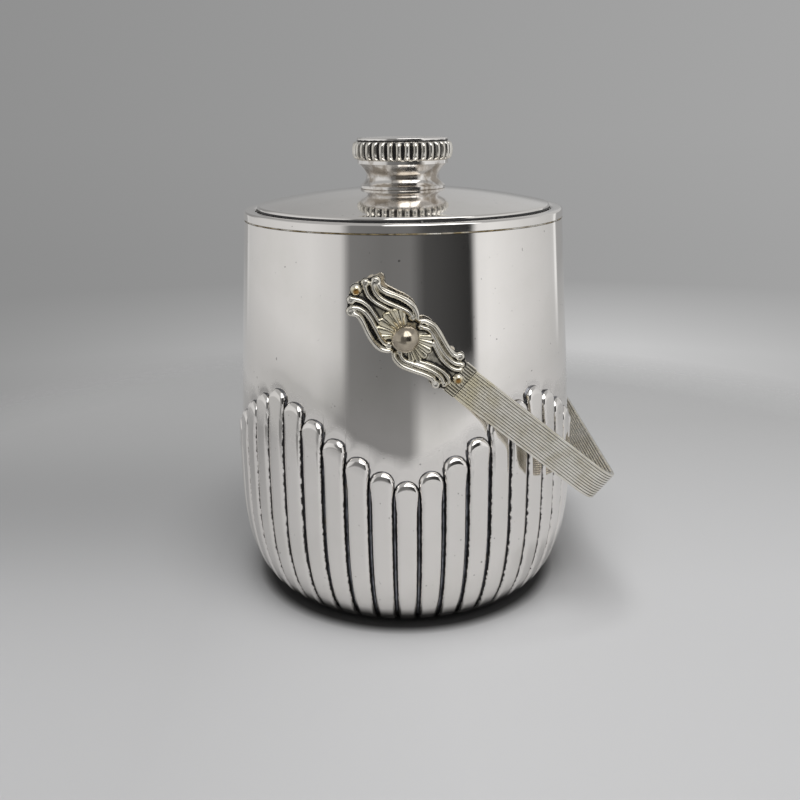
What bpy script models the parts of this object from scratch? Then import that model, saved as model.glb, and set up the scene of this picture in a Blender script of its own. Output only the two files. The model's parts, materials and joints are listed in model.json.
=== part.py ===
"""Insulated silver-plated ice bucket: fluted shell, lifted lid and a swinging reeded handle."""

import math

import bmesh
import bpy
from mathutils import Matrix, Vector

MM = 0.001

# Fits
clearance = 0.3 * MM
lid_gap = 0.6 * MM

# Fluted shell: a straight taper, a bellied foot and an opening for the base plate
wall_top_height = 161.4 * MM
wall_top_radius = 67.3 * MM
belly_height = 76.0 * MM
belly_swell = 6.0 * MM
belly_blend = 10.0 * MM
foot_curve_height = 50.0 * MM
foot_tuck = 19.1 * MM
foot_height = 2.1 * MM
foot_fullness = 0.9
foot_lip = 4.2 * MM
shell_wall = 1.2 * MM
belly_radius = wall_top_radius + belly_swell
foot_radius = belly_radius - foot_tuck
base_opening_radius = foot_radius - foot_lip

# Flutes: round-headed lobes whose heads rise and fall in four swags; the section's
# points are shares of a flute's half width and rise
flute_count = 48
swag_count = 4
swag_low_height = 69.0 * MM
swag_high_height = 100.1 * MM
swag_roundness = 0.45
flute_rise = 1.7 * MM
flute_overlap = 0.9 * MM
flute_root = 0.6 * MM
flute_head = 4.5 * MM
flute_section = ((-0.72, 0.68), (0, 1), (0.72, 0.68))

# Rim: a bead wire under a rounded collar
bead_wire_radius = 0.5 * MM
bead_proud = 0.1 * MM
rim_rise = 4.6 * MM
rim_overhang = 0.1 * MM
rim_width = 5.0 * MM
rim_flange = 2.4 * MM
rim_round = 1.1 * MM
rim_skirt_depth = 12.0 * MM
rim_skirt_wall = 1.3 * MM
rim_top_height = wall_top_height + rim_rise
rim_radius = wall_top_radius + rim_overhang
rim_inner_radius = rim_radius - rim_width

# Liner and insulation
liner_ledge = 2.9 * MM
liner_draft = 5.0 * MM
liner_floor_height = 15.0 * MM
liner_corner = 9.0 * MM
liner_wall = 1.0 * MM
base_plate_lap = 2.4 * MM
base_plate_thickness = 1.5 * MM
base_spigot_height = 5.0 * MM
insulation_foot_height = 9.0 * MM
liner_mouth_radius = rim_inner_radius - liner_ledge
liner_floor_radius = liner_mouth_radius - liner_draft
base_plate_radius = base_opening_radius + base_plate_lap

# Lid
lid_edge_rise = 2.7 * MM
lid_dome_rise = 5.6 * MM
lid_wall = 1.0 * MM
lid_lip = 2.0 * MM
pan_fit = 0.5 * MM
pan_depth = 13.6 * MM
pan_corner = 3.0 * MM
lid_insulation_thickness = 11.5 * MM
lid_edge_height = rim_top_height + lid_edge_rise
lid_crown_height = lid_edge_height + lid_dome_rise

# Knob
knob_foot_radius = 17.8 * MM
knob_foot_edge = 1.5 * MM
knob_neck_radius = 15.4 * MM
knob_neck_rise = 4.5 * MM
knob_shoulder_radius = 19.1 * MM
knob_shoulder_rise = 11.0 * MM
knob_shoulder_edge = 1.6 * MM
knob_ring_radius = 21.2 * MM
knob_ring_thickness = 3.9 * MM
knob_ring_height = 7.2 * MM
knob_rib_count = 36
knob_rib_depth = 0.9 * MM
knob_cap_radius = 19.1 * MM
knob_cap_thickness = 1.2 * MM
knob_screw_radius = 2.5 * MM
knob_screw_depth = 9.0 * MM
screw_head_radius = 4.5 * MM
screw_head_thickness = 3.0 * MM
screw_head_edge = 0.9 * MM
knob_washer_radius = 7.0 * MM
knob_washer_thickness = 1.2 * MM

# Handle pivots
pivot_height = 126.6 * MM
stud_radius = 2.0 * MM
stud_ball_radius = 5.1 * MM
stud_ball_seat = 3.9 * MM
spacer_radius = 4.5 * MM
spacer_thickness = 1.8 * MM
nut_radius = 4.6 * MM
nut_thickness = 3.0 * MM
nut_pocket_radius = 7.0 * MM

# Handle: a reeded strap between two cast cartouches
strap_width = 13.0 * MM
strap_thickness = 2.0 * MM
strap_reeds = 12
strap_reed_depth = 0.35 * MM
strap_reach = 105.4 * MM
strap_corner = 16.0 * MM
strap_draw_in = 9.0 * MM
cartouche_thickness = 2.4 * MM
cartouche_tip = 26.6 * MM
cartouche_strap_end = 28.4 * MM
cartouche_tip_width = 4.4 * MM
cartouche_neck = 6.9 * MM
neck_length = 4.0 * MM
cartouche_lean = 0.07
scroll_radius = 1.0 * MM
volute_radius = 1.7 * MM
shell_petals = 7
shell_fan_radius = 10.3 * MM
free_fan_angle = math.radians(100)
strap_fan_angle = math.radians(78)
petal_fill = 0.9

ring_steps = 32
knob_steps = 24
small_steps = 12
bend_steps = 4


def clear_scene():
    for item in list(bpy.data.objects):
        bpy.data.objects.remove(item, do_unlink=True)


def new_collection(name):
    group = bpy.data.collections.new(name)
    bpy.context.scene.collection.children.link(group)
    return group


clear_scene()
parts = new_collection("ice_bucket")
tools = new_collection("ice_bucket_cutters")


def finish(name, colour, roughness, metallic=1.0):
    """A plain surface finish."""
    material = bpy.data.materials.new(name)
    material.use_nodes = True
    shader = material.node_tree.nodes["Principled BSDF"]
    shader.inputs["Base Color"].default_value = (*colour, 1.0)
    shader.inputs["Roughness"].default_value = roughness
    shader.inputs["Metallic"].default_value = metallic
    return material


silver = finish("polished_silver_plate", (0.82, 0.80, 0.76), 0.10)
antique_silver = finish("oxidised_silver_plate", (0.62, 0.59, 0.52), 0.28)
worn_brass = finish("worn_brass", (0.55, 0.45, 0.28), 0.30)
liner_metal = finish("satin_liner", (0.75, 0.75, 0.74), 0.32)
foam = finish("insulating_foam", (0.86, 0.84, 0.78), 0.90, 0.0)
brass = finish("turned_brass", (0.72, 0.56, 0.28), 0.30)


def place(item, material, parent=None, group=parts):
    """Put a new object in its collection, under its moving frame."""
    group.objects.link(item)
    if material is not None:
        item.data.materials.append(material)
    item.parent = parent
    return item


def hide_tool(item):
    item.hide_render = True
    item.display_type = "WIRE"
    return item


def adopt(name):
    """Name the newest primitive and take it out of its first collection."""
    item = bpy.context.object
    item.name = name
    for group in item.users_collection:
        group.objects.unlink(item)
    return item


def cut_or_join(target, tool, operation):
    step = target.modifiers.new(operation.lower(), "BOOLEAN")
    step.operation = operation
    step.solver = "EXACT"
    step.object = tool


def turned(name, profile, material, parent=None, steps=ring_steps):
    """A profile of (radius, height), down its outer side, turned about Z."""
    mesh = bpy.data.meshes.new(name)
    count = len(profile)
    edges = [(i, i + 1) for i in range(count - 1)]
    if profile[0][0] > 0:
        edges.append((count - 1, 0))
    mesh.from_pydata([(radius, 0.0, height) for radius, height in profile], edges, [])
    item = place(bpy.data.objects.new(name, mesh), material, parent)
    spin = item.modifiers.new("turn", "SCREW")
    spin.axis = "Z"
    spin.steps = steps
    spin.render_steps = steps
    spin.use_merge_vertices = True
    spin.merge_threshold = 0.00001
    spin.use_smooth_shade = True
    return item


def arc(centre, radius, start, end, steps):
    """Points of (radius, height) on a quarter or part circle, angles in degrees."""
    points = []
    for step in range(steps + 1):
        angle = math.radians(start + (end - start) * step / steps)
        points.append((centre[0] + radius * math.cos(angle), centre[1] + radius * math.sin(angle)))
    return points


# Shell wall

wall_taper = (belly_radius - wall_top_radius) / (wall_top_height - belly_height)


def wall_radius(height):
    """Outer radius of the plain wall above the foot curve."""
    above = height - belly_height
    if above > belly_blend:
        return belly_radius - wall_taper * above
    if above < -belly_blend:
        return belly_radius
    return belly_radius - wall_taper * (above + belly_blend) ** 2 / (4 * belly_blend)


def foot_point(turn):
    """Outer point of the foot curve, from 0 at the belly to 90 degrees at the base."""
    angle = math.radians(turn)
    across = max(math.cos(angle), 0.0) ** foot_fullness
    down = math.sin(angle) ** foot_fullness
    radius = foot_radius + (belly_radius - foot_radius) * across
    return radius, foot_curve_height - (foot_curve_height - foot_height) * down


def wall_line(top, foot_turns):
    """Outer wall points from a height down to the last foot angle."""
    points = [(wall_radius(top), top)]
    if belly_height < top - flute_head:
        points.append((wall_radius(belly_height), belly_height))
    return points + [foot_point(turn) for turn in foot_turns]


def outward(points, index):
    """Normal of a downward-running line of (radius, height) points."""
    before = Vector(points[max(index - 1, 0)])
    after = Vector(points[min(index + 1, len(points) - 1)])
    along = (after - before).normalized()
    return Vector((-along.y, along.x))


def offset_line(points, distance):
    """The same line moved in by a distance along its normals."""
    return [tuple(Vector(point) - outward(points, i) * distance) for i, point in enumerate(points)]


foot_turns = (0, 32, 62, 90)


def make_shell():
    """The turned shell, with its flutes joined on and the pivot holes drilled."""
    outer = wall_line(wall_top_height, foot_turns)
    inner = offset_line(outer, shell_wall)
    inner[0] = (wall_top_radius - shell_wall, wall_top_height)
    inner[-1] = (foot_radius, foot_height + shell_wall)
    lip = [(base_opening_radius, foot_height), (base_opening_radius, foot_height + shell_wall)]
    shell = turned("body_shell", outer + lip + inner[::-1], silver, steps=flute_count)
    cut_or_join(shell, make_flutes(), "UNION")
    shell.modifiers[-1].use_self = True
    cut_or_join(shell, cross_drill("pivot_drill", stud_radius + clearance), "DIFFERENCE")


def swag_height(index):
    """Height of a flute's head, lowest in the middle of each swag."""
    period = flute_count / swag_count
    share = abs((index + period / 2) % period - period / 2) / (period / 2)
    eased = (1 - math.cos(math.pi * share)) / 2
    rise = swag_roundness * eased + (1 - swag_roundness) * share
    return swag_low_height + (swag_high_height - swag_low_height) * rise


def make_flutes():
    """All the lobes, each lofted down the wall from its round head to the base."""
    bm = bmesh.new()
    pitch = math.tau / flute_count
    for index in range(flute_count):
        top = swag_height(index)
        line = []
        for turn in (14, 45, 90):
            swell = math.sin(math.radians(turn))
            height = top - flute_head * (1 - math.cos(math.radians(turn)))
            line.append((wall_radius(height), height, swell))
        for radius, height in wall_line(top, foot_turns[:-1] + (85,))[1:]:
            line.append((radius, height, 1.0))
        flat = [(radius, height) for radius, height, swell in line]
        loops = []
        for i, (radius, height, swell) in enumerate(line):
            normal = outward(flat, i)
            half = pitch * radius / 2 * swell
            foot = half + flute_overlap
            corners = [(across * half, up * flute_rise * swell) for across, up in flute_section]
            loop = []
            for across, lift in [(-foot, -flute_root)] + corners + [(foot, -flute_root)]:
                spot = Vector((radius + normal.x * lift, across, height + normal.y * lift))
                loop.append(bm.verts.new(Matrix.Rotation(index * pitch - math.pi / 2, 3, "Z") @ spot))
            loops.append(loop)
        for upper, lower in zip(loops, loops[1:]):
            for i in range(len(upper)):
                j = (i + 1) % len(upper)
                bm.faces.new((upper[i], upper[j], lower[j], lower[i]))
        bm.faces.new(loops[0][::-1])
        bm.faces.new(loops[-1])
    bmesh.ops.recalc_face_normals(bm, faces=bm.faces)
    mesh = bpy.data.meshes.new("flutes")
    bm.to_mesh(mesh)
    bm.free()
    return hide_tool(place(bpy.data.objects.new("flutes", mesh), None, group=tools))


def cross_drill(name, radius):
    """A drill right through both pivots, along Y."""
    reach = 2 * (belly_radius + strap_width)
    bpy.ops.mesh.primitive_cylinder_add(vertices=small_steps, radius=radius, depth=reach)
    drill = place(adopt(name), None, group=tools)
    drill.rotation_euler = (math.pi / 2, 0.0, 0.0)
    drill.location = (0.0, 0.0, pivot_height)
    return hide_tool(drill)


# Rim, liner and insulation

bead_radius = wall_top_radius + bead_proud - bead_wire_radius
bead_height = wall_top_height + clearance + bead_wire_radius
rim_flange_low = bead_height + bead_wire_radius + clearance
rim_skirt_radius = wall_top_radius - shell_wall - clearance
liner_flange_high = rim_top_height - rim_flange - clearance
liner_flange_radius = rim_skirt_radius - rim_skirt_wall - clearance


def make_rim():
    skirt_inner = rim_skirt_radius - rim_skirt_wall
    skirt_low = wall_top_height - rim_skirt_depth
    outer = arc((rim_radius - rim_round, rim_top_height - rim_round), rim_round, 90, 0, 2)
    inner = arc((rim_inner_radius + rim_round, rim_top_height - rim_round), rim_round, 180, 90, 1)
    below = [
        (rim_radius, rim_flange_low),
        (rim_skirt_radius, rim_flange_low),
        (rim_skirt_radius, skirt_low),
        (skirt_inner, skirt_low),
        (skirt_inner, rim_top_height - rim_flange),
        (rim_inner_radius, rim_top_height - rim_flange),
    ]
    turned("rim_collar", outer + below + inner, silver)
    bpy.ops.mesh.primitive_torus_add(
        major_radius=bead_radius,
        minor_radius=bead_wire_radius,
        major_segments=ring_steps,
        minor_segments=5,
        location=(0.0, 0.0, bead_height),
    )
    place(adopt("rim_bead"), worn_brass)


liner_outer_mouth = liner_mouth_radius + liner_wall
liner_outer_floor = liner_floor_radius + liner_wall
liner_base_height = liner_floor_height - liner_wall


def make_liner():
    """A drawn cup hung by its flange under the collar."""
    flange_low = liner_flange_high - liner_wall
    outer_corner = arc(
        (liner_outer_floor - liner_corner, liner_base_height + liner_corner), liner_corner, 0, -90, 2
    )
    inner_round = liner_corner - liner_wall
    inner_corner = arc(
        (liner_floor_radius - inner_round, liner_floor_height + inner_round), inner_round, -90, 0, 2
    )
    profile = [
        (liner_flange_radius, liner_flange_high),
        (liner_flange_radius, flange_low),
        (liner_outer_mouth, flange_low),
    ]
    profile += outer_corner + [(0.0, liner_base_height), (0.0, liner_floor_height)] + inner_corner
    profile += [(liner_mouth_radius, liner_flange_high)]
    centre = profile.index((0.0, liner_base_height))
    turned("inner_liner", profile[centre + 1:] + profile[:centre + 1], liner_metal)


def liner_outside(height):
    """Outer radius of the liner's tapered wall."""
    low = liner_base_height + liner_corner
    share = (height - low) / (liner_flange_high - liner_wall - low)
    return liner_outer_floor + (liner_outer_mouth - liner_outer_floor) * share


def make_insulation():
    """A moulded sleeve round the liner and a disc under it."""
    top = liner_flange_high - liner_wall - clearance
    shelf = wall_top_height - rim_skirt_depth - clearance
    wall = wall_line(shelf, foot_turns[:-1])
    gap = shell_wall + clearance
    outer = [point for point in offset_line(wall, gap) if point[1] > insulation_foot_height]
    inner_low = liner_base_height + liner_corner
    inside = rim_skirt_radius - rim_skirt_wall - clearance
    profile = [(inside, top), (inside, shelf)] + outer
    profile += [
        (liner_outer_floor + clearance, outer[-1][1]),
        (liner_outer_floor + clearance, inner_low),
        (liner_outside(top) + clearance, top),
    ]
    sleeve = turned("insulation_sleeve", profile, foam)
    cut_or_join(sleeve, nut_pockets(), "DIFFERENCE")
    low = base_spigot_height + clearance
    high = liner_base_height - clearance
    turned(
        "insulation_disc",
        [(0.0, high), (liner_outer_floor, high), (liner_outer_floor, low), (0.0, low)],
        foam,
        steps=knob_steps,
    )


def make_base():
    """A base plate with a spigot that locates in the shell's opening."""
    seat = foot_height - clearance
    spigot = base_opening_radius - clearance
    inside = spigot - base_plate_thickness
    profile = [
        (0.0, base_plate_thickness),
        (inside, base_plate_thickness),
        (inside, base_spigot_height),
        (spigot, base_spigot_height),
        (spigot, seat),
        (base_plate_radius, seat),
        (base_plate_radius, 0.0),
        (0.0, 0.0),
    ]
    turned("base_plate", profile, brass)


# Lid

lid_radius = rim_inner_radius - lid_gap
lid_seat_height = liner_flange_high + clearance
pan_floor_height = lid_seat_height - pan_depth
knob_neck_height = lid_crown_height + knob_neck_rise
knob_shoulder_height = lid_crown_height + knob_shoulder_rise
lid_frame = bpy.data.objects.new("lid_lift", None)
parts.objects.link(lid_frame)


def dome_height(radius):
    """Height of the lid's upper face."""
    inner = lid_radius - lid_lip
    return lid_crown_height - (lid_crown_height - lid_edge_height) * (radius / inner) ** 2


def make_lid():
    rings = [lid_radius * share for share in (0.3, 0.58, 0.82)]
    bore = knob_screw_radius + clearance
    skirt = lid_radius - lid_wall
    top = [(radius, dome_height(radius)) for radius in [bore] + rings]
    edge_centre = (lid_radius - lid_lip, lid_edge_height - lid_lip)
    edge = arc(edge_centre, lid_lip, 90, 0, 2)
    under = [(radius, dome_height(radius) - lid_wall) for radius in (rings[1], bore)]
    below = [(lid_radius, lid_seat_height), (skirt, lid_seat_height), (skirt, edge_centre[1])]
    turned("lid_shell", top + edge + below + under, silver, lid_frame)


def make_lid_pan():
    """The plug under the lid: a shallow pan with its insulating disc."""
    outer = liner_mouth_radius - pan_fit
    flange = lid_radius - lid_wall - clearance
    inner = outer - lid_wall
    flange_high = lid_seat_height + lid_wall
    corner = arc((outer - pan_corner, pan_floor_height + pan_corner), pan_corner, 0, -90, 2)
    profile = [(0.0, pan_floor_height + lid_wall), (inner - pan_corner, pan_floor_height + lid_wall)]
    profile += [(inner, pan_floor_height + pan_corner), (inner, flange_high), (flange, flange_high)]
    profile += [(flange, lid_seat_height), (outer, lid_seat_height)] + corner
    profile += [(0.0, pan_floor_height)]
    turned("lid_pan", profile, liner_metal, lid_frame)
    disc = inner - pan_corner
    low = pan_floor_height + lid_wall + clearance
    high = low + lid_insulation_thickness
    turned(
        "lid_insulation",
        [(0.0, high), (disc, high), (disc, low), (0.0, low)],
        foam,
        lid_frame,
        knob_steps,
    )


def make_knob():
    """A turned spool with a ribbed ring and a cap, held by a screw from below."""
    bore = knob_screw_radius
    foot_low = dome_height(knob_foot_radius) + clearance
    foot_high = foot_low + knob_foot_edge
    boss = knob_ring_radius - knob_ring_thickness - clearance
    ring_low = knob_shoulder_height + clearance
    ring_high = ring_low + knob_ring_height
    drill = dome_height(0.0) + clearance + knob_screw_depth
    waist = []
    for share in (0.12, 0.4, 0.75, 1.0):
        swing = math.sin(share * math.pi / 2)
        radius = knob_foot_radius + (knob_neck_radius - knob_foot_radius) * swing
        waist.append((radius, foot_high + (knob_neck_height - foot_high) * share ** 1.3))
    rise = knob_shoulder_height - knob_shoulder_edge - knob_neck_height
    for share in (0.35, 0.7, 1.0):
        swing = 1 - math.cos(share * math.pi / 2)
        radius = knob_neck_radius + (knob_shoulder_radius - knob_neck_radius) * swing
        waist.append((radius, knob_neck_height + rise * share))
    profile = [(0.0, ring_high), (boss, ring_high), (boss, knob_shoulder_height)]
    profile += [(knob_shoulder_radius, knob_shoulder_height)] + waist[::-1]
    profile += [(knob_foot_radius, foot_high), (knob_foot_radius, foot_low)]
    profile += [(bore + clearance, dome_height(bore) + clearance), (bore + clearance, drill), (0.0, drill)]
    turned("knob_body", profile, silver, lid_frame, knob_steps)
    make_knob_ring(ring_low + knob_ring_height / 2)
    cap_low = ring_high + clearance
    cap_high = cap_low + knob_cap_thickness
    edge = knob_cap_thickness / 4
    cap = [
        (0.0, cap_high),
        (knob_cap_radius - edge, cap_high),
        (knob_cap_radius, cap_high - edge),
        (knob_cap_radius, cap_low + edge),
        (knob_cap_radius - edge, cap_low),
        (0.0, cap_low),
    ]
    turned("knob_cap", cap, silver, lid_frame, knob_steps)
    washer_high = dome_height(knob_washer_radius) - lid_wall - clearance
    washer_low = washer_high - knob_washer_thickness
    washer = [
        (knob_washer_radius, washer_high),
        (knob_washer_radius, washer_low),
        (bore + clearance, washer_low),
        (bore + clearance, washer_high),
    ]
    turned("knob_washer", washer, brass, lid_frame, small_steps)
    head_high = washer_low - clearance
    head_low = head_high - screw_head_thickness
    screw = [
        (0.0, drill - clearance),
        (bore, drill - clearance),
        (bore, head_high),
        (screw_head_radius, head_high),
        (screw_head_radius, head_low + screw_head_edge),
        (screw_head_radius - screw_head_edge, head_low),
        (0.0, head_low),
    ]
    turned("knob_screw", screw, brass, lid_frame, small_steps)


def make_knob_ring(height):
    """A ring whose outer face is pinched into upright ribs."""
    minor = knob_ring_thickness / 2
    bpy.ops.mesh.primitive_torus_add(
        major_radius=knob_ring_radius - minor,
        minor_radius=minor,
        major_segments=2 * knob_rib_count,
        minor_segments=6,
    )
    ring = place(adopt("knob_ring"), antique_silver, lid_frame)
    tall = (knob_ring_height / 2) / minor
    for vert in ring.data.vertices:
        spot = vert.co
        radius = math.hypot(spot.x, spot.y)
        angle = math.atan2(spot.y, spot.x)
        outside = max(0.0, (radius - knob_ring_radius + minor) / minor)
        groove = (1 + math.cos(knob_rib_count * angle)) / 2
        scale = (radius - knob_rib_depth * outside * groove) / radius
        vert.co = Vector((spot.x * scale, spot.y * scale, height + spot.z * tall))


# Handle

handle_frame = bpy.data.objects.new("handle_swing", None)
parts.objects.link(handle_frame)

strap_inside = strap_reach - strap_thickness / 2
stop_radius = belly_radius + flute_rise + clearance
edge_reach = math.hypot(strap_inside, strap_width / 2)
rest_angle = math.acos(stop_radius / edge_reach) - math.atan2(strap_width / 2, strap_inside)
handle_frame.location = (0.0, 0.0, pivot_height)
handle_frame.rotation_euler = (0.0, rest_angle, 0.0)

spacer_inner = wall_radius(pivot_height - spacer_radius) + clearance
spacer_outer = spacer_inner + spacer_thickness
cartouche_inner = spacer_outer + clearance
cartouche_outer = cartouche_inner + cartouche_thickness
wall_facet = math.cos(math.pi / flute_count)
nut_wall = (wall_radius(pivot_height + nut_radius) - shell_wall) * wall_facet
nut_outer = math.sqrt(nut_wall**2 - nut_radius**2) - clearance
nut_inner = nut_outer - nut_thickness
strap_end_offset = cartouche_inner + strap_thickness / 2
strap_half_gap = strap_end_offset - strap_draw_in
sides = (("front", -1), ("rear", 1))


def nut_pockets():
    """Two pockets that clear the pivot nuts, as one cutter along Y."""
    bm = bmesh.new()
    deep = nut_inner - clearance
    long = belly_radius - deep
    for side in (-1, 1):
        place_at = Matrix.Translation((0.0, side * (deep + long / 2), pivot_height))
        bmesh.ops.create_cone(
            bm,
            cap_ends=True,
            segments=small_steps,
            radius1=nut_pocket_radius,
            radius2=nut_pocket_radius,
            depth=long,
            matrix=place_at @ Matrix.Rotation(math.pi / 2, 4, "X"),
        )
    mesh = bpy.data.meshes.new("nut_pockets")
    bm.to_mesh(mesh)
    bm.free()
    return hide_tool(place(bpy.data.objects.new("nut_pockets", mesh), None, group=tools))


def make_pivots():
    """Ball-headed studs through the wall, each with a spacer outside and a nut inside."""
    ball_centre = cartouche_outer + clearance + stud_ball_seat
    seat = math.degrees(math.asin(stud_ball_seat / stud_ball_radius))
    ball = arc((0.0, ball_centre), stud_ball_radius, 90, -seat, 6)
    ball[0] = (0.0, ball_centre + stud_ball_radius)
    stud = ball + [
        (stud_radius, ball_centre - stud_ball_seat),
        (stud_radius, nut_inner - clearance),
        (0.0, nut_inner - clearance),
    ]
    bore = stud_radius + clearance
    spacer = [
        (spacer_radius, spacer_outer),
        (spacer_radius, spacer_inner),
        (bore, spacer_inner),
        (bore, spacer_outer),
    ]
    nut = [(nut_radius, nut_outer), (nut_radius, nut_inner), (bore, nut_inner), (bore, nut_outer)]
    for name, side in sides:
        pieces = (
            turned(f"pivot_stud_{name}", stud, silver, steps=small_steps),
            turned(f"pivot_spacer_{name}", spacer, silver, steps=small_steps),
            turned(f"pivot_nut_{name}", nut, brass, steps=6),
        )
        for piece in pieces:
            piece.location = (0.0, 0.0, pivot_height)
            piece.rotation_euler = (-side * math.pi / 2, 0.0, 0.0)


def strap_line():
    """The strap's centre line in the handle's own plane, from one cartouche to the other."""
    start = cartouche_strap_end + clearance
    splay = math.atan2(strap_draw_in, strap_reach - strap_corner - start)
    points = [(start, -strap_end_offset)]
    turn = math.pi / 2 - splay
    centre = Vector((strap_reach - strap_corner, -strap_half_gap + strap_corner))
    for step in range(bend_steps + 1):
        angle = -math.pi / 2 + splay + turn * step / bend_steps
        points.append((centre.x + strap_corner * math.cos(angle), centre.y + strap_corner * math.sin(angle)))
    return points + [(x, -y) for x, y in points[::-1]]


def make_strap():
    """A flat strap, reeded on its outer face, swept round the bail."""
    half = strap_width / 2
    deep = strap_thickness / 2
    section = [(-deep, -half), (-deep, half)]
    for step in range(2 * strap_reeds + 1):
        inset = strap_reed_depth if step % 2 == 0 else 0.0
        section.append((deep - inset, half - strap_width * step / (2 * strap_reeds)))
    profile = flat_curve("reed_section", section)
    tools.objects.link(hide_tool(profile))
    line = strap_line()
    curve = bpy.data.curves.new("handle_strap", "CURVE")
    curve.dimensions = "3D"
    curve.twist_mode = "Z_UP"
    spline = curve.splines.new("POLY")
    spline.points.add(len(line) - 1)
    for point, (x, y) in zip(spline.points, line):
        point.co = (x, y, 0.0, 1.0)
    curve.bevel_mode = "OBJECT"
    curve.bevel_object = profile
    curve.use_fill_caps = True
    place(bpy.data.objects.new("handle_strap", curve), antique_silver, handle_frame)


def flat_curve(name, outline, smooth=False, corners=()):
    """A closed flat outline, straight between points or smooth except at its corners."""
    curve = bpy.data.curves.new(name, "CURVE")
    curve.dimensions = "2D"
    curve.fill_mode = "NONE"
    spline = curve.splines.new("BEZIER" if smooth else "POLY")
    spline.use_cyclic_u = True
    if smooth:
        spline.resolution_u = 2
        spline.bezier_points.add(len(outline) - 1)
        for index, (x, y) in enumerate(outline):
            point = spline.bezier_points[index]
            point.co = (x, y, 0.0)
            handle = "VECTOR" if index in corners else "AUTO"
            point.handle_left_type = handle
            point.handle_right_type = handle
    else:
        spline.points.add(len(outline) - 1)
        for point, (x, y) in zip(spline.points, outline):
            point.co = (x, y, 0.0, 1.0)
    return bpy.data.objects.new(name, curve)


def as_mesh(item, name):
    """A curve object made a closed mesh."""
    bpy.context.scene.collection.objects.link(item)
    bpy.context.view_layer.update()
    seen = item.evaluated_get(bpy.context.evaluated_depsgraph_get())
    mesh = bpy.data.meshes.new_from_object(seen)
    bpy.data.objects.remove(item, do_unlink=True)
    bm = bmesh.new()
    bm.from_mesh(mesh)
    bmesh.ops.remove_doubles(bm, verts=bm.verts, dist=0.00001)
    bmesh.ops.dissolve_limit(bm, angle_limit=0.001, verts=bm.verts, edges=bm.edges)
    bm.to_mesh(mesh)
    bm.free()
    mesh.name = name
    return mesh


# Half outline of the cartouche, (along the strap, half width), from its free tip to its neck
free_half = ((-24.6, 6.6), (-21.2, 8.9), (-18.0, 7.4), (-15.0, 8.0), (-10.5, 10.0), (-5.5, 10.9), (-2.0, 9.4))
strap_half = ((1.8, 9.4), (5.5, 10.2), (9.0, 9.5), (12.5, 8.1), (17.5, 6.9), (20.4, 8.4), (22.8, 7.6))
waist_half = (-0.2, 7.6)
tip_volute = (-24.4, 5.6)


def leaned(along, across):
    """The free half leans a little towards the rim."""
    return along, across - cartouche_lean * min(along, 0.0)


def cartouche_plate():
    """The flat outline, smooth but for its waist and its squared neck."""
    half = [(x * MM, w * MM) for x, w in free_half + (waist_half,) + strap_half]
    half = [(-cartouche_tip, cartouche_tip_width / 2)] + half
    half += [(cartouche_strap_end - neck_length, cartouche_neck), (cartouche_strap_end, cartouche_neck)]
    last = 2 * len(half) - 1
    waist = 1 + len(free_half)
    neck = len(half) - 2
    corners = {waist, last - waist, neck, neck + 1, neck + 2, neck + 3}
    both = [leaned(x, w) for x, w in half + [(x, -w) for x, w in half[::-1]]]
    plate = flat_curve("cartouche_plate", both, smooth=True, corners=corners)
    plate.data.fill_mode = "BOTH"
    plate.data.extrude = cartouche_thickness / 2
    return plate


def scroll(points, mirror):
    """A raised rail along the cartouche's edge, set in by its own radius."""
    curve = bpy.data.curves.new("scroll", "CURVE")
    curve.dimensions = "3D"
    curve.bevel_depth = scroll_radius
    curve.bevel_resolution = 1
    curve.use_fill_caps = True
    spline = curve.splines.new("POLY")
    spline.points.add(len(points) - 1)
    for point, (along, across) in zip(spline.points, points):
        x, y = leaned(along * MM, mirror * (across * MM - scroll_radius))
        point.co = (x, y, cartouche_thickness / 2, 1.0)
    return as_mesh(bpy.data.objects.new("scroll", curve), "scroll")


def make_relief(name):
    """Scroll rails, volutes and two shell fans, standing half out of the plate's face."""
    bm = bmesh.new()
    for mirror in (1, -1):
        for rail in (free_half[1:], strap_half[:-1]):
            bm.from_mesh(scroll(rail, mirror))
        for along, across in (free_half[1], tip_volute, strap_half[-2]):
            x, y = leaned(along * MM, mirror * (across * MM - scroll_radius))
            spot = Matrix.Translation((x, y, cartouche_thickness / 2))
            bmesh.ops.create_uvsphere(bm, u_segments=6, v_segments=5, radius=volute_radius, matrix=spot)
    for heading, spread in ((math.pi, free_fan_angle), (0.0, strap_fan_angle)):
        for index in range(shell_petals):
            turn = heading + spread * (index / (shell_petals - 1) - 0.5)
            add_petal(bm, turn, spread / (shell_petals - 1))
    mesh = bpy.data.meshes.new(name)
    bm.to_mesh(mesh)
    bm.free()
    return mesh


def add_petal(bm, turn, pitch):
    """One tapered petal of a shell fan, pointing away from the ball."""
    inner = stud_ball_radius
    long = shell_fan_radius - inner
    aim = Matrix.Rotation(turn, 4, "Z") @ Matrix.Translation((inner + long / 2, 0.0, cartouche_thickness / 2))
    bmesh.ops.create_cone(
        bm,
        cap_ends=True,
        segments=6,
        radius1=petal_fill * pitch * inner / 2,
        radius2=petal_fill * pitch * shell_fan_radius / 2,
        depth=long,
        matrix=aim @ Matrix.Rotation(math.pi / 2, 4, "Y"),
    )


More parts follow.
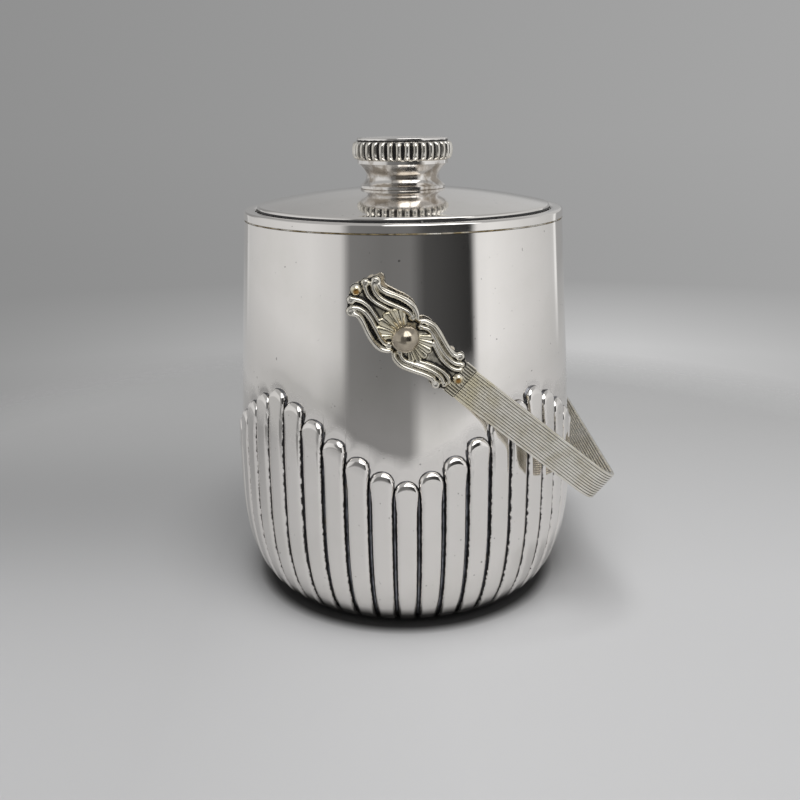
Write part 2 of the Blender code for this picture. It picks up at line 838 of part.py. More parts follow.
def make_cartouche(name, side):
    """A cast plate with its relief on the outer face, drilled for the stud."""
    mesh = as_mesh(cartouche_plate(), f"cartouche_{name}")
    middle = side * (cartouche_inner + cartouche_thickness / 2)
    stand = Matrix.Translation((0.0, middle, 0.0)) @ Matrix.Rotation(math.pi / 2, 4, "X")
    if side > 0:
        stand = stand @ Matrix.Scale(-1, 4, (0.0, 0.0, 1.0))
    relief = make_relief(f"relief_{name}")
    for shape in (mesh, relief):
        shape.transform(stand)
        if side > 0:
            shape.flip_normals()
    item = place(bpy.data.objects.new(f"cartouche_{name}", mesh), antique_silver, handle_frame)
    raised = hide_tool(place(bpy.data.objects.new(f"relief_{name}", relief), None, handle_frame, tools))
    cut_or_join(item, raised, "UNION")
    item.modifiers[-1].use_self = True
    cut_or_join(item, cross_drill(f"cartouche_drill_{name}", stud_radius + clearance), "DIFFERENCE")


def build():
    make_shell()
    make_base()
    make_insulation()
    make_liner()
    make_rim()
    make_lid()
    make_lid_pan()
    make_knob()
    make_pivots()
    make_strap()
    for name, side in sides:
        make_cartouche(name, side)


build()
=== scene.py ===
"""Looks of the insulated ice bucket: fluted silver plate, cast handle mounts and a plain studio."""

import json
import math
from functools import partialmethod

import bmesh
import bpy
import numpy as np
from mathutils import Matrix, Vector


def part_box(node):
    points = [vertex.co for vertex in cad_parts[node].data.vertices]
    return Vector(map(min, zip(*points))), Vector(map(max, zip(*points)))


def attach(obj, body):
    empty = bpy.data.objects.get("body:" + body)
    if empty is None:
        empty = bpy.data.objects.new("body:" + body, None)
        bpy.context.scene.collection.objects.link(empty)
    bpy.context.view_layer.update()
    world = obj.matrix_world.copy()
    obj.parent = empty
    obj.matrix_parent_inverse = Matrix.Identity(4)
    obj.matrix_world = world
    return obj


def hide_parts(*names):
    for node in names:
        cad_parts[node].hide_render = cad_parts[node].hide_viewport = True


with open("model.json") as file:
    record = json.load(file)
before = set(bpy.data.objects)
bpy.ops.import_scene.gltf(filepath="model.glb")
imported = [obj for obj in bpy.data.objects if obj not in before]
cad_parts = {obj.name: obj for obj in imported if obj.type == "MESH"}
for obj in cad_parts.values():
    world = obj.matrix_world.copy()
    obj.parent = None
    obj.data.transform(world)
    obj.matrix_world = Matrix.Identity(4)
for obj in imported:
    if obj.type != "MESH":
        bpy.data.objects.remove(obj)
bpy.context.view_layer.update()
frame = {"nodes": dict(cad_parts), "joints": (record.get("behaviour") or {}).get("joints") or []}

MM = 0.001

# Heights and radii read from the frame
shell_low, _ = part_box("body_shell")
collar_low, collar_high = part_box("rim_collar")
bead_low, bead_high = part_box("rim_bead")
lid_low, lid_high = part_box("lid_shell")
ring_low, ring_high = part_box("knob_ring")
_, cap_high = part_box("knob_cap")
_, spool_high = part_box("knob_body")
liner_low, liner_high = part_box("inner_liner")
pan_low, pan_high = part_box("lid_pan")
_, base_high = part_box("base_plate")
stud_low, stud_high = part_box("pivot_stud_front")
spacer_low, spacer_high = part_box("pivot_spacer_front")
_, cartouche_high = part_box("cartouche_front")
swing = next(joint for joint in frame["joints"] if joint["name"] == "handle_swing")
pivot_height = swing["pos_m"][2]

# Pieces that touch keep a hairline seam, and pieces that fit inside others a wider one
seam = 0.05 * MM
fit_gap = 0.3 * MM

# Shell wall under its flutes
flute_rise = 1.7 * MM
bead_wire = 0.3 * MM
bead_middle = (bead_low.z + bead_high.z) / 2
wall_top = bead_middle - bead_wire - seam
wall_top_radius = 67.3 * MM
belly_radius = -shell_low.y - flute_rise
belly_height = 76 * MM
belly_blend = 10 * MM
foot_curve_height = 50 * MM
foot_radius = 54.2 * MM
foot_height = 2.1 * MM
foot_fullness = 0.9
base_opening = 50 * MM
shell_wall = 1.2 * MM
wall_taper = (belly_radius - wall_top_radius) / (wall_top - belly_height)

# Flutes
flute_count = 48
swag_flutes = 12
swag_low = 69.0 * MM
swag_high = 100.1 * MM
swag_roundness = 0.45
flute_head = 4.6 * MM
flute_shoulder = 1.2 * MM
flute_cap = 3.0 * MM
flute_groove = 0.5 * MM
flute_gap = 0.55 * MM
flute_halo = 1.3 * MM
flute_dish = 0.3 * MM
flute_dish_reach = 4.5 * MM
flute_runout = 5.0 * MM
flute_columns = 12
wall_rows = 72
flute_rows = 84
wall_crowding = 2
flute_crowding = 1.9
seam_weld = 0.002 * MM
grid_weld = 0.01 * MM

# The gap between two flutes opens below their heads
gap_start = 3.0 * MM
gap_length = 8.0 * MM

# Reach of the oxide: in a groove at its head and where it is open, and at a head's two sides
groove_oxide = 0.22 * MM
open_groove_oxide = 0.85 * MM
head_oxide = 0.2 * MM
wall_oxide = 0.16 * MM

flute_sizes = {
    "Flute rise": flute_rise,
    "Flute groove": flute_groove,
    "Flute gap": flute_gap,
    "Flute head": flute_head,
    "Shoulder": flute_shoulder,
    "Cap": flute_cap,
    "Halo": flute_halo,
    "Dish": flute_dish,
    "Dish reach": flute_dish_reach,
    "Swag low": swag_low,
    "Swag high": swag_high,
}


def add_object(name, data):
    item = bpy.data.objects.new(name, data)
    bpy.context.scene.collection.objects.link(item)
    return item


# Node sums


class Sum:
    """A number in a node tree, reckoned with as in plain arithmetic."""

    def __init__(self, tree, socket):
        self.tree = tree
        self.socket = socket

    def math(self, operation, *others):
        item = self.tree.nodes.new("ShaderNodeMath")
        item.operation = operation
        for socket, value in zip(item.inputs, (self, *others)):
            wire(self.tree, value, socket)
        return Sum(self.tree, item.outputs[0])

    __add__ = __radd__ = partialmethod(math, "ADD")
    __sub__ = partialmethod(math, "SUBTRACT")
    __mul__ = __rmul__ = partialmethod(math, "MULTIPLY")
    __truediv__ = partialmethod(math, "DIVIDE")
    __pow__ = partialmethod(math, "POWER")
    __abs__ = partialmethod(math, "ABSOLUTE")
    sine = partialmethod(math, "SINE")
    cosine = partialmethod(math, "COSINE")
    above = partialmethod(math, "MAXIMUM")
    below = partialmethod(math, "MINIMUM")

    def __rsub__(self, other):
        return (self * -1) + other

    def root(self):
        return self.above(0).math("SQRT")

    def clamped(self):
        return self.above(0).below(1)

    def bell(self):
        """1 at zero, falling away softly on both sides."""
        return (self * self * -1).math("EXPONENT")

    def rounded(self):
        """A quarter round from 0 to 1."""
        left = 1 - self.clamped()
        return (1 - left * left).root()


def wire(tree, value, socket):
    """Link a socket or a sum, or set a plain value."""
    if isinstance(value, Sum):
        value = value.socket
    if isinstance(value, bpy.types.NodeSocket):
        tree.links.new(value, socket)
    else:
        socket.default_value = value


def add_node(tree, kind, wires=None, **settings):
    item = tree.nodes.new(kind)
    for key, value in settings.items():
        setattr(item, key, value)
    for key, value in (wires or {}).items():
        wire(tree, value, item.inputs[key])
    return item


def split_axes(tree, spot):
    return [Sum(tree, socket) for socket in add_node(tree, "ShaderNodeSeparateXYZ", {0: spot}).outputs]


def vector_sum(tree, operation, wires):
    return add_node(tree, "ShaderNodeVectorMath", wires, operation=operation).outputs


def add_line(curve, points, closed=False):
    spline = curve.splines.new("POLY")
    spline.use_cyclic_u = closed
    spline.points.add(len(points) - 1)
    for point, (x, y) in zip(spline.points, points):
        point.co = (x, y, 0, 1)


def keep_values(mesh, label, values):
    """Keep a number for each vertex, for the finish to read."""
    mesh.attributes.new(label, "FLOAT", "POINT").data.foreach_set("value", values)


def mesh_of(bm, name):
    mesh = bpy.data.meshes.new(name)
    bm.to_mesh(mesh)
    bm.free()
    return mesh


# Geometry trees


def new_shape_tree(name, sizes):
    """A geometry tree with named number inputs; returns the tree and its inputs as sums."""
    tree = bpy.data.node_groups.new(name, "GeometryNodeTree")
    tree.interface.new_socket("Geometry", in_out="INPUT", socket_type="NodeSocketGeometry")
    tree.interface.new_socket("Geometry", in_out="OUTPUT", socket_type="NodeSocketGeometry")
    for label in sizes:
        tree.interface.new_socket(label, in_out="INPUT", socket_type="NodeSocketFloat")
    entry = tree.nodes.new("NodeGroupInput")
    return tree, {label: Sum(tree, entry.outputs[label]) for label in sizes}


def close_shape_tree(tree, geometry, material):
    real = add_node(tree, "GeometryNodeRealizeInstances", {"Geometry": geometry})
    smooth = add_node(tree, "GeometryNodeSetShadeSmooth", {"Geometry": real.outputs[0]})
    paint = add_node(tree, "GeometryNodeSetMaterial", {"Geometry": smooth.outputs[0], "Material": material})
    leave = tree.nodes.new("NodeGroupOutput")
    tree.links.new(paint.outputs[0], leave.inputs[0])


def baked(name, tree, sizes, data=None):
    """Run a geometry tree on an object and keep only the finished mesh."""
    item = add_object(name, data or bpy.data.meshes.new(name))
    step = item.modifiers.new(name, "NODES")
    step.node_group = tree
    for socket in tree.interface.items_tree:
        if socket.in_out == "INPUT" and socket.name in sizes:
            step[socket.identifier] = float(sizes[socket.name])
    mesh = evaluated_mesh(item)
    mesh.name = name
    if mesh.materials[0] is None:
        mesh.materials.pop(index=0)
    return add_object(name, mesh)


def evaluated_mesh(item):
    """The mesh that an object's curve or modifiers give; the object itself is dropped."""
    bpy.context.view_layer.update()
    seen = item.evaluated_get(bpy.context.evaluated_depsgraph_get())
    mesh = bpy.data.meshes.new_from_object(seen)
    bpy.data.objects.remove(item, do_unlink=True)
    return mesh


def store(tree, geometry, label, value):
    item = add_node(tree, "GeometryNodeStoreNamedAttribute", {"Geometry": geometry, "Name": label})
    item.data_type = "FLOAT"
    item.domain = "POINT"
    wire(tree, value, item.inputs["Value"])
    return item.outputs[0]


def lobe_grid(tree, lobes, columns, rows, tall, shift=0.0):
    """A grid with columns crowding to its lobes' edges; returns grid, column, lobe, across and row."""
    grid = add_node(
        tree,
        "GeometryNodeMeshGrid",
        {"Size X": lobes, "Size Y": tall, "Vertices X": lobes * columns + 1, "Vertices Y": rows + 1},
    )
    along, row, _ = split_axes(tree, tree.nodes.new("GeometryNodeInputPosition").outputs[0])
    lobe = (along + 0.5 + shift).math("FLOOR") - shift
    across = ((along - lobe) * math.pi).sine()
    return grid.outputs["Mesh"], along, lobe, across, row


def polar(tree, radius, angle, height):
    spot = add_node(
        tree, "ShaderNodeCombineXYZ", {0: radius * angle.cosine(), 1: radius * angle.sine(), 2: height}
    )
    return spot.outputs[0]


def weld(tree, geometry, distance):
    wires = {"Geometry": geometry, "Distance": distance}
    return add_node(tree, "GeometryNodeMergeByDistance", wires).outputs[0]


# Finishes


def new_finish(name):
    """A new material, its tree and shader, and the place on the object."""
    material = bpy.data.materials.new(name)
    material.use_nodes = True
    tree = material.node_tree
    return material, tree, tree.nodes["Principled BSDF"], object_place(tree)


def object_place(tree, scale=(1, 1, 1)):
    spot = tree.nodes.new("ShaderNodeTexCoord").outputs["Object"]
    return add_node(tree, "ShaderNodeMapping", {"Vector": spot, "Scale": scale}).outputs[0]


def noise(tree, spot, scale, detail=3.0, roughness=0.55):
    wires = {"Vector": spot, "Scale": scale, "Detail": detail, "Roughness": roughness}
    return Sum(tree, add_node(tree, "ShaderNodeTexNoise", wires).outputs["Fac"])


def from_to(value, low, high, start=0, end=1):
    """Map a sum from one span to another, clamped."""
    item = add_node(value.tree, "ShaderNodeMapRange", {0: value, 1: low, 2: high, 3: start, 4: end})
    return Sum(value.tree, item.outputs[0])


def mixed(tree, share, first, second):
    item = tree.nodes.new("ShaderNodeMix")
    item.data_type = "RGBA"
    wire(tree, share, item.inputs["Factor"])
    wire(tree, first, item.inputs[6])
    wire(tree, second, item.inputs[7])
    return item.outputs[2]


def attribute(tree, label):
    return Sum(tree, add_node(tree, "ShaderNodeAttribute", attribute_name=label).outputs["Fac"])


def bumped(tree, shader, height, distance, strength=1.0):
    item = add_node(tree, "ShaderNodeBump", {"Height": height, "Distance": distance, "Strength": strength})
    wire(tree, item.outputs[0], shader.inputs["Normal"])


def coat(tree, shader, colour, rough, metallic=1.0):
    """Give a finish its colour, its roughness and its share of metal."""
    for label, value in (("Base Color", colour), ("Roughness", rough), ("Metallic", metallic)):
        wire(tree, value, shader.inputs[label])


SILVER = (0.89, 0.862, 0.832, 1)
HAZE = (0.78, 0.76, 0.71, 1)
# Black oxide in hollows, also used as painted shade in shadowed gaps
OXIDE_AND_SHADE = (0.045, 0.043, 0.042, 1)
SLATE = (0.34, 0.35, 0.38, 1)
STAIN = (0.34, 0.29, 0.23, 1)
CAST_SILVER = (0.86, 0.835, 0.78, 1)
CAST_SHADE = (0.60, 0.56, 0.48, 1)
BALL_SILVER = (0.55, 0.49, 0.39, 1)
STRAW = (0.80, 0.73, 0.52, 1)
AMBER = (0.36, 0.20, 0.06, 1)
BARE_BRASS = (0.44, 0.35, 0.20, 1)
BROWN_BRASS = (0.10, 0.075, 0.045, 1)
TURNED_BRASS = (0.74, 0.58, 0.30, 1)
DULL_BRASS = (0.58, 0.43, 0.20, 1)
SATIN = (0.76, 0.76, 0.75, 1)
DULL_SATIN = (0.66, 0.66, 0.66, 1)
FRESH_FOAM = (0.86, 0.84, 0.76, 1)
AGED_FOAM = (0.74, 0.68, 0.52, 1)


def polished_plate(name, gloss=0.055, turned=False, stained=0.0):
    """Mirror silver plate: hairline scratches, faint haze, small pits and ragged oxide in the recesses; the
    same dark is painted shade on sides marked as lying in a shadowed gap.
    """
    material, tree, shader, spot = new_finish(name)
    haze = noise(tree, spot, 38, 5)
    fine = noise(tree, object_place(tree, (1, 1, 0.06)), 900, 2)
    speck = from_to(noise(tree, spot, 520, 1), 0.755, 0.79, 0, 0.55)
    recess = attribute(tree, "recess")
    ragged = noise(tree, spot, 560, 5, 0.65)
    dark = from_to(recess + ragged * 0.9, 0.88, 1.04)
    pale = from_to(recess, 0.7, 0.92) * from_to(noise(tree, spot, 280, 3), 0.35, 0.6, 0.3, 1)
    # Dark oxide in the flutes' grooves, and painted shade on turned sides that sit in a shadowed gap
    crust_and_shade = mixed(tree, pale, OXIDE_AND_SHADE, SLATE)
    worn = noise(tree, object_place(tree, (1, 1, 0.3)), 330, 2)
    bare = from_to(worn, 0.6, 0.7, 0, 0.6) * from_to(recess, 0.8, 1.0)
    crust_and_shade = mixed(tree, bare, crust_and_shade, BARE_BRASS)
    metal = mixed(tree, from_to(haze, 0.45, 0.8, 0, 0.5), SILVER, HAZE)
    rough = from_to(haze, 0.35, 0.75, gloss * 0.7, gloss * 1.7) + from_to(fine, 0.5, 0.8, 0, 0.03)
    if stained:
        cloud = from_to(noise(tree, spot, 120, 4, 0.62), 0.48, 0.62, 0, stained)
        metal = mixed(tree, cloud, metal, STAIN)
        rough = rough + cloud * 0.16
    coat(tree, shader, mixed(tree, dark.above(speck), metal, crust_and_shade), rough + dark * 0.35)
    marks = noise(tree, object_place(tree, (1, 1, 40) if turned else (1, 1, 0.05)), 160, 2)
    bumped(tree, shader, marks + haze * 2, 0.012 * MM, 0.35)
    return material


def antique_plate(name, bright=CAST_SILVER, dull=CAST_SHADE):
    """Cast silver plate with black oxide in its hollows, straw tarnish beside them and amber spots."""
    material, tree, shader, spot = new_finish(name)
    grain = noise(tree, spot, 700, 4)
    blotch = noise(tree, spot, 190, 4)
    recess = attribute(tree, "recess")
    straw = attribute(tree, "straw")
    metal = mixed(tree, from_to(blotch, 0.42, 0.7, 0, 0.8), bright, dull)
    yellow = (straw * from_to(blotch, 0.3, 0.7, 0.45, 1.0)).clamped()
    tinted = mixed(tree, yellow, metal, STRAW)
    tinted = mixed(tree, from_to(straw, 1.1, 1.9), tinted, AMBER)
    dark = from_to(recess + grain * 0.7, 0.62, 1.05)
    rough = from_to(grain, 0.3, 0.8, 0.12, 0.24) + dark * 0.4 + yellow * 0.1
    coat(tree, shader, mixed(tree, dark, tinted, OXIDE_AND_SHADE), rough)
    bumped(tree, shader, grain, 0.03 * MM, 0.12)
    return material


def worn_brass(name):
    """Brass wire with plate left in patches."""
    material, tree, shader, spot = new_finish(name)
    patch = noise(tree, spot, 120, 4)
    age = from_to(noise(tree, spot, 500, 3), 0.35, 0.7)
    brown = mixed(tree, age, BARE_BRASS, BROWN_BRASS)
    plated = mixed(tree, from_to(patch, 0.48, 0.66, 0, 0.9), brown, HAZE)
    coat(tree, shader, plated, from_to(patch, 0.4, 0.7, 0.42, 0.18))
    return material


def spun_metal(name, colour, shade, gloss, metallic=1.0):
    """Metal spun on a lathe, with fine rings; a satin one also scatters light."""
    material, tree, shader, spot = new_finish(name)
    x, y, z = split_axes(tree, spot)
    line = add_node(tree, "ShaderNodeCombineXYZ", {0: (x * x + y * y).root(), 1: 0.0, 2: z})
    rings = noise(tree, line.outputs[0], 2600, 3, 0.7)
    cloud = noise(tree, spot, 45, 4)
    metal = mixed(tree, from_to(cloud, 0.35, 0.75), colour, shade)
    coat(tree, shader, metal, from_to(rings, 0.3, 0.75, gloss, gloss * 1.8), metallic)
    bumped(tree, shader, rings, 0.01 * MM, 0.5)
    return material


def rigid_foam(name):
    """Pale insulating foam with small closed cells."""
    material, tree, shader, spot = new_finish(name)
    cells = add_node(tree, "ShaderNodeTexVoronoi", {"Vector": spot, "Scale": 900.0}).outputs["Distance"]
    age = from_to(noise(tree, spot, 60, 4), 0.35, 0.75)
    coat(tree, shader, mixed(tree, age, FRESH_FOAM, AGED_FOAM), 0.9, 0.0)
    bumped(tree, shader, cells, 0.2 * MM, 0.6)
    return material


plate = polished_plate("polished_plate")
turned_plate = polished_plate("turned_plate", 0.075, turned=True)
stained_plate = polished_plate("stained_plate", 0.08, turned=True, stained=0.85)
cast_plate = antique_plate("cast_plate")
ball_plate = antique_plate("ball_plate", BALL_SILVER, STAIN)
bead_brass = worn_brass("bead_brass")
liner_satin = spun_metal("liner_satin", SATIN, DULL_SATIN, 0.16, 0.3)
base_brass = spun_metal("base_brass", TURNED_BRASS, DULL_BRASS, 0.20)
foam = rigid_foam("insulating_foam")


# Turned pieces

on_axis = 1e-7
# Darkness of the painted shade on a turned piece's side where it sits in a shadowed gap
gap_shade = 0.74


def arc(centre, radius, start, end, steps=8):
    """Points of (radius, height) on part of a circle, angles in degrees."""
    angles = [math.radians(start + (end - start) * i / steps) for i in range(steps + 1)]
    return [(centre[0] + radius * math.cos(a), centre[1] + radius * math.sin(a)) for a in angles]


def lathe(profile, steps):
    """A closed mesh: a line of (radius, height) turned about Z, from axis to axis or back to its start."""
    bm = bmesh.new()
    turns = [math.tau * i / steps for i in range(steps)]
    rings = []
    for radius, height in profile:
        around = turns if radius > on_axis else turns[:1]
        rings.append([bm.verts.new((radius * math.cos(a), radius * math.sin(a), height)) for a in around])
    pairs = list(zip(rings, rings[1:]))
    if profile[0][0] > on_axis:
        pairs.append((rings[-1], rings[0]))
    for upper, lower in pairs:
        for i in range(steps):
            j = (i + 1) % steps
            corners = [ring[k % len(ring)] for ring, k in ((upper, i), (upper, j), (lower, j), (lower, i))]
            bm.faces.new(list(dict.fromkeys(corners)))
    bmesh.ops.recalc_face_normals(bm, faces=bm.faces)
    return mesh_of(bm, "lathe")


def dress(item, body, slot, *nodes, material=None, sharp=None):
    """Finish a piece: its material, shading and body, and hide the nodes that it stands for; the slot is
    not used.
    """
    if material is not None:
        item.data.materials.clear()
        item.data.materials.append(material)
    item.data.shade_smooth()
    if sharp:
        item.data.set_sharp_from_angle(angle=math.radians(sharp))
    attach(item, body)
    if nodes:
        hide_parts(*nodes)
    return item


def turned_piece(name, profile, body, slot, node, material, steps=192, place=None, dark_below=None):
    """A turned piece in its finish; below a given height its side gets painted shade, for the shadowed gap
    where it meets the piece beneath.
    """
    mesh = lathe(profile, steps)
    mesh.name = name
    # Painted shade: the side below the given height is marked dark, standing in for the gap's shadow
    if dark_below is not None:
        keep_values(mesh, "recess", [gap_shade * (vert.co.z < dark_below) for vert in mesh.vertices])
    if place is not None:
        mesh.transform(place)
    item = add_object(name, mesh)
    return dress(item, body, slot, node, material=material, sharp=40)


# Fluted shell


def swag(lobe, low, high):
    """Height of a flute's head as a sum."""
    half = swag_flutes / 2
    share = abs((lobe + half).math("FLOORED_MODULO", swag_flutes) - half) / half
    eased = (1 - (share * math.pi).cosine()) / 2
    return low + (high - low) * (eased * swag_roundness + share * (1 - swag_roundness))


def flute_tree():
    """A wall whose lobes swell into round-headed flutes below a swagged line."""
    tree, size = new_shape_tree("fluted_wall", flute_sizes)
    mesh, _, lobe, across, row = lobe_grid(tree, flute_count, flute_columns, wall_rows + flute_rows, 2.0)
    pitch = math.tau / flute_count
    half = belly_radius * pitch / 2
    head = size["Flute head"]
    crown = swag(lobe, size["Swag low"], size["Swag high"])
    edge = abs(across)
    spring = crown - head
    side = across.math("SIGN")
    near_spring = swag(lobe + side, size["Swag low"], size["Swag high"]) - head
    border = edge.math("GREATER_THAN", 0.999)
    outline = (spring + head * (1 - across * across).root()).above(near_spring * border)

    # Rows crowd towards the outline of the flute's head, from the wall's top and from the foot
    split = wall_rows / (wall_rows + flute_rows) * 2 - 1
    upper = ((split - row) / (split + 1)).above(0)
    lower = ((row - split) / (1 - split)).above(0)
    along = outline + (wall_top - outline) * upper**wall_crowding - outline * lower**flute_crowding

    # How far the surface stands off the plain wall
    own = off_outline(edge, along, spring, head)
    near = off_outline(2 - edge, along, near_spring, head)
    outside = own.below(near).above(0)
    beside = ((1 - edge) * half).above(0)
    below_head = (outline - along).above(0)
    runout = (along / flute_runout).rounded()
    opened = ((below_head - gap_start) / gap_length).clamped()
    gap = size["Flute gap"] * opened
    shoulder = ((beside - gap) / size["Shoulder"]).rounded()
    cap = (below_head / size["Cap"]).rounded()
    body = shoulder * cap * runout
    on_flute = lower.math("GREATER_THAN", 0)
    lobe_lift = (size["Flute rise"] + size["Flute groove"]) * body - size["Flute groove"]
    rounding = (outside / size["Halo"]).bell() * (size["Flute groove"] - size["Dish"])
    wall_lift = (rounding + (outside / size["Dish reach"]).bell() * size["Dish"]) * -1
    lift = lobe_lift * on_flute + wall_lift * (1 - on_flute)
    groove_line = beside / (opened * open_groove_oxide + groove_oxide)
    flute_dark = groove_line.bell().above((below_head / head_oxide).bell())
    wall_dark = (outside / wall_oxide).bell()
    depth = flute_dark * on_flute + wall_dark * (1 - on_flute)
    held = store(tree, store(tree, mesh, "lift", lift), "recess", depth)

    # The plain wall: a straight taper above, eased into the belly, then the foot's curve
    above = along - belly_height
    eased = (above + belly_blend).above(0).below(2 * belly_blend)
    drop = (eased * eased / (4 * belly_blend) + (above - belly_blend).above(0)) * wall_taper
    turn = ((1 - along / foot_curve_height).above(0) * (math.pi / 2)).below(math.pi / 2)
    tuck = (belly_radius - foot_radius) * (1 - turn.cosine().above(0) ** foot_fullness)
    fall = (foot_curve_height - foot_height) * turn.sine().above(0) ** foot_fullness
    height = along.above(foot_curve_height) - fall
    angle = (lobe + across / 2) * pitch - math.pi / 2
    spot = polar(tree, belly_radius - drop - tuck, angle, height)
    wall = add_node(tree, "GeometryNodeSetPosition", {"Geometry": held, "Position": spot})
    joined = weld(tree, wall.outputs[0], seam_weld)
    normal = tree.nodes.new("GeometryNodeInputNormal").outputs[0]
    kept = add_node(tree, "GeometryNodeInputNamedAttribute", {"Name": "lift"}, data_type="FLOAT")
    push = vector_sum(tree, "SCALE", {0: normal, "Scale": Sum(tree, kept.outputs[0]) * -1})
    raised = add_node(tree, "GeometryNodeSetPosition", {"Geometry": joined, "Offset": push[0]})
    close_shape_tree(tree, raised.outputs[0], plate)
    return tree


def off_outline(edge, along, spring, head):
    """Distance outside a round-headed flute, as a sum."""
    up = ((along - spring) / head).above(0)
    return ((edge * edge + up * up).root() - 1) * head


def make_shell():
    shell = baked("fluted_shell", flute_tree(), flute_sizes)
    line_shell(shell.data)
    dress(shell, "bucket", "polished_plate", "body_shell", sharp=60)
    shell.modifiers.new("even_shading", "WEIGHTED_NORMAL").keep_sharp = True


def line_shell(mesh):
    """Close the shell with its inner wall, from the base opening up to the top edge."""
    bm = bmesh.new()
    bm.from_mesh(mesh)
    middle = wall_top / 2
    open_edges = [edge for edge in bm.edges if edge.is_boundary]
    foot = [edge for edge in open_edges if edge.verts[0].co.z < middle]
    brim = [edge for edge in open_edges if edge.verts[0].co.z > middle]
    inner = (
        (base_opening, foot_height),
        (base_opening, foot_height + shell_wall),
        (foot_radius, foot_height + shell_wall),
        (belly_radius - shell_wall, foot_curve_height),
        (belly_radius - shell_wall, belly_height),
        (wall_top_radius - shell_wall, wall_top),
    )
    loop = foot
    for radius, height in inner:
        grown = bmesh.ops.extrude_edge_only(bm, edges=loop)["geom"]
        loop = [part for part in grown if isinstance(part, bmesh.types.BMEdge)]
        for vert in {vert for edge in loop for vert in edge.verts}:
            scale = radius / math.hypot(vert.co.x, vert.co.y)
            vert.co = (vert.co.x * scale, vert.co.y * scale, height)
    bmesh.ops.bridge_loops(bm, edges=loop + brim)
    bmesh.ops.recalc_face_normals(bm, faces=bm.faces)
    bm.to_mesh(mesh)
    bm.free()


# Rim, bead and liner

rim_radius = collar_high.x
rim_top = collar_high.z
rim_inner = rim_radius - 5.0 * MM
rim_flange = 2.4 * MM
rim_round = 1.1 * MM
skirt_radius = wall_top_radius - shell_wall - fit_gap
skirt_wall = 1.3 * MM
flange_low = bead_middle + bead_wire + seam
liner_wall = 1.0 * MM
liner_mouth = 59.5 * MM
liner_floor = 54.5 * MM
liner_corner = 9.0 * MM


def make_rim():
    outer = arc((rim_radius - rim_round, rim_top - rim_round), rim_round, 90, 0, 10)
    inner = arc((rim_inner + rim_round, rim_top - rim_round), rim_round, 180, 90, 10)
    low = collar_low.z
    under = rim_top - rim_flange
    below = [(rim_radius, flange_low), (skirt_radius, flange_low), (skirt_radius, low)]
    below += [(skirt_radius - skirt_wall, low), (skirt_radius - skirt_wall, under), (rim_inner, under)]
    turned_piece("rim_band", outer + below + inner, "bucket", "polished_plate", "rim_collar", plate, 256)
    centre = (bead_high.x - bead_wire, bead_middle)
    ring = arc(centre, bead_wire, 0, -330, 11)
    turned_piece("bead_wire", ring, "bucket", "worn_brass", "rim_bead", bead_brass, 256)


def make_liner():
    flange = liner_high.x
    top = liner_high.z
    low = liner_low.z
    floor = low + liner_wall
    round_in = liner_corner - liner_wall
    outer = arc((liner_floor + liner_wall - liner_corner, low + liner_corner), liner_corner, 0, -90, 10)
    inner = arc((liner_floor - round_in, floor + round_in), round_in, -90, 0, 10)
    mouth = arc((liner_mouth + liner_wall, top - liner_wall), liner_wall, 180, 90, 5)
    profile = [(0.0, floor)] + inner + mouth + [(flange, top), (flange, top - liner_wall)]
    profile += [(liner_mouth + liner_wall, top - liner_wall)] + outer + [(0.0, low)]
    turned_piece("liner_cup", profile, "bucket", "liner_metal", "inner_liner", liner_satin, 160)


def make_base():
    spigot = base_opening - fit_gap
    edge = 0.4 * MM
    seat = foot_height - fit_gap
    thick = 1.5 * MM
    profile = [(0.0, thick), (spigot - thick, thick), (spigot - thick, base_high.z), (spigot, base_high.z)]
    profile += [(spigot, seat), (base_high.x - edge, seat), (base_high.x, seat - edge), (base_high.x, edge)]
    profile += [(base_high.x - edge, 0.0)]
    dish = 34 * MM
    profile += [(dish + edge, 0.0), (dish, edge / 2), (dish - edge, 0.0), (0.0, 0.0)]
    turned_piece("base_disc", profile, "bucket", "turned_brass", "base_plate", base_brass, 160)


# Lid and knob

lid_radius = lid_high.x
lid_edge = rim_top + 1.7 * MM
lid_crown = lid_high.z
lid_wall = 1.0 * MM
lid_lip = 1.1 * MM
lip_start = 79
screw_bore = 2.8 * MM
screw_cover = 8 * MM
knob_foot = 17.8 * MM
knob_neck = 15.4 * MM
knob_neck_height = lid_crown + 4.5 * MM
knob_shoulder = 19.1 * MM
knob_foot_edge = 1.5 * MM
knob_shoulder_edge = 1.6 * MM
knob_foot_sweep = 1.3
waist_steps = 12
knob_ribs = 36
rib_share = 0.70
rib_depth = 1.3 * MM
rib_columns = 16
rib_rows = 28
rib_fade = 0.6
rib_oxide = (0.86, 1.0)
ring_squareness = 0.8
ring_thickness = 3.9 * MM
ring_middle = (ring_low.z + ring_high.z) / 2
ring_tall = 7.2 * MM
ring_sizes = {
    "Outer radius": ring_high.x,
    "Thickness": ring_thickness,
    "Tall": ring_tall,
    "Middle": ring_middle,
    "Rib depth": rib_depth,
}


def dome(radius):
    """Height of the lid's upper face."""
    return lid_crown - (lid_crown - lid_edge) * (radius / (lid_radius - lid_lip)) ** 2


def make_lid():
    crown = [screw_bore + (lid_radius - lid_lip - screw_bore) * i / 24 for i in range(25)]
    top = [(radius, dome(radius)) for radius in crown]
    lip = arc((lid_radius - lid_lip, lid_edge - lid_lip), lid_lip, lip_start, 0, 8)
    skirt = lid_radius - lid_wall
    below = [(lid_radius, lid_low.z), (skirt, lid_low.z), (skirt, lid_edge - lid_lip)]
    under = [(radius, dome(radius) - lid_wall) for radius in crown[::-3]]
    profile = top + lip + [(lid_radius, lid_edge - lid_lip - 2 * seam)] + below + under
    # Painted shade on the lid's side below its lip, for the shadowed gap over the rim
    gap = lid_edge - lid_lip - seam
    turned_piece(
        "lid_dome", profile, "lid", "polished_plate", "lid_shell", turned_plate, 256, dark_below=gap
    )


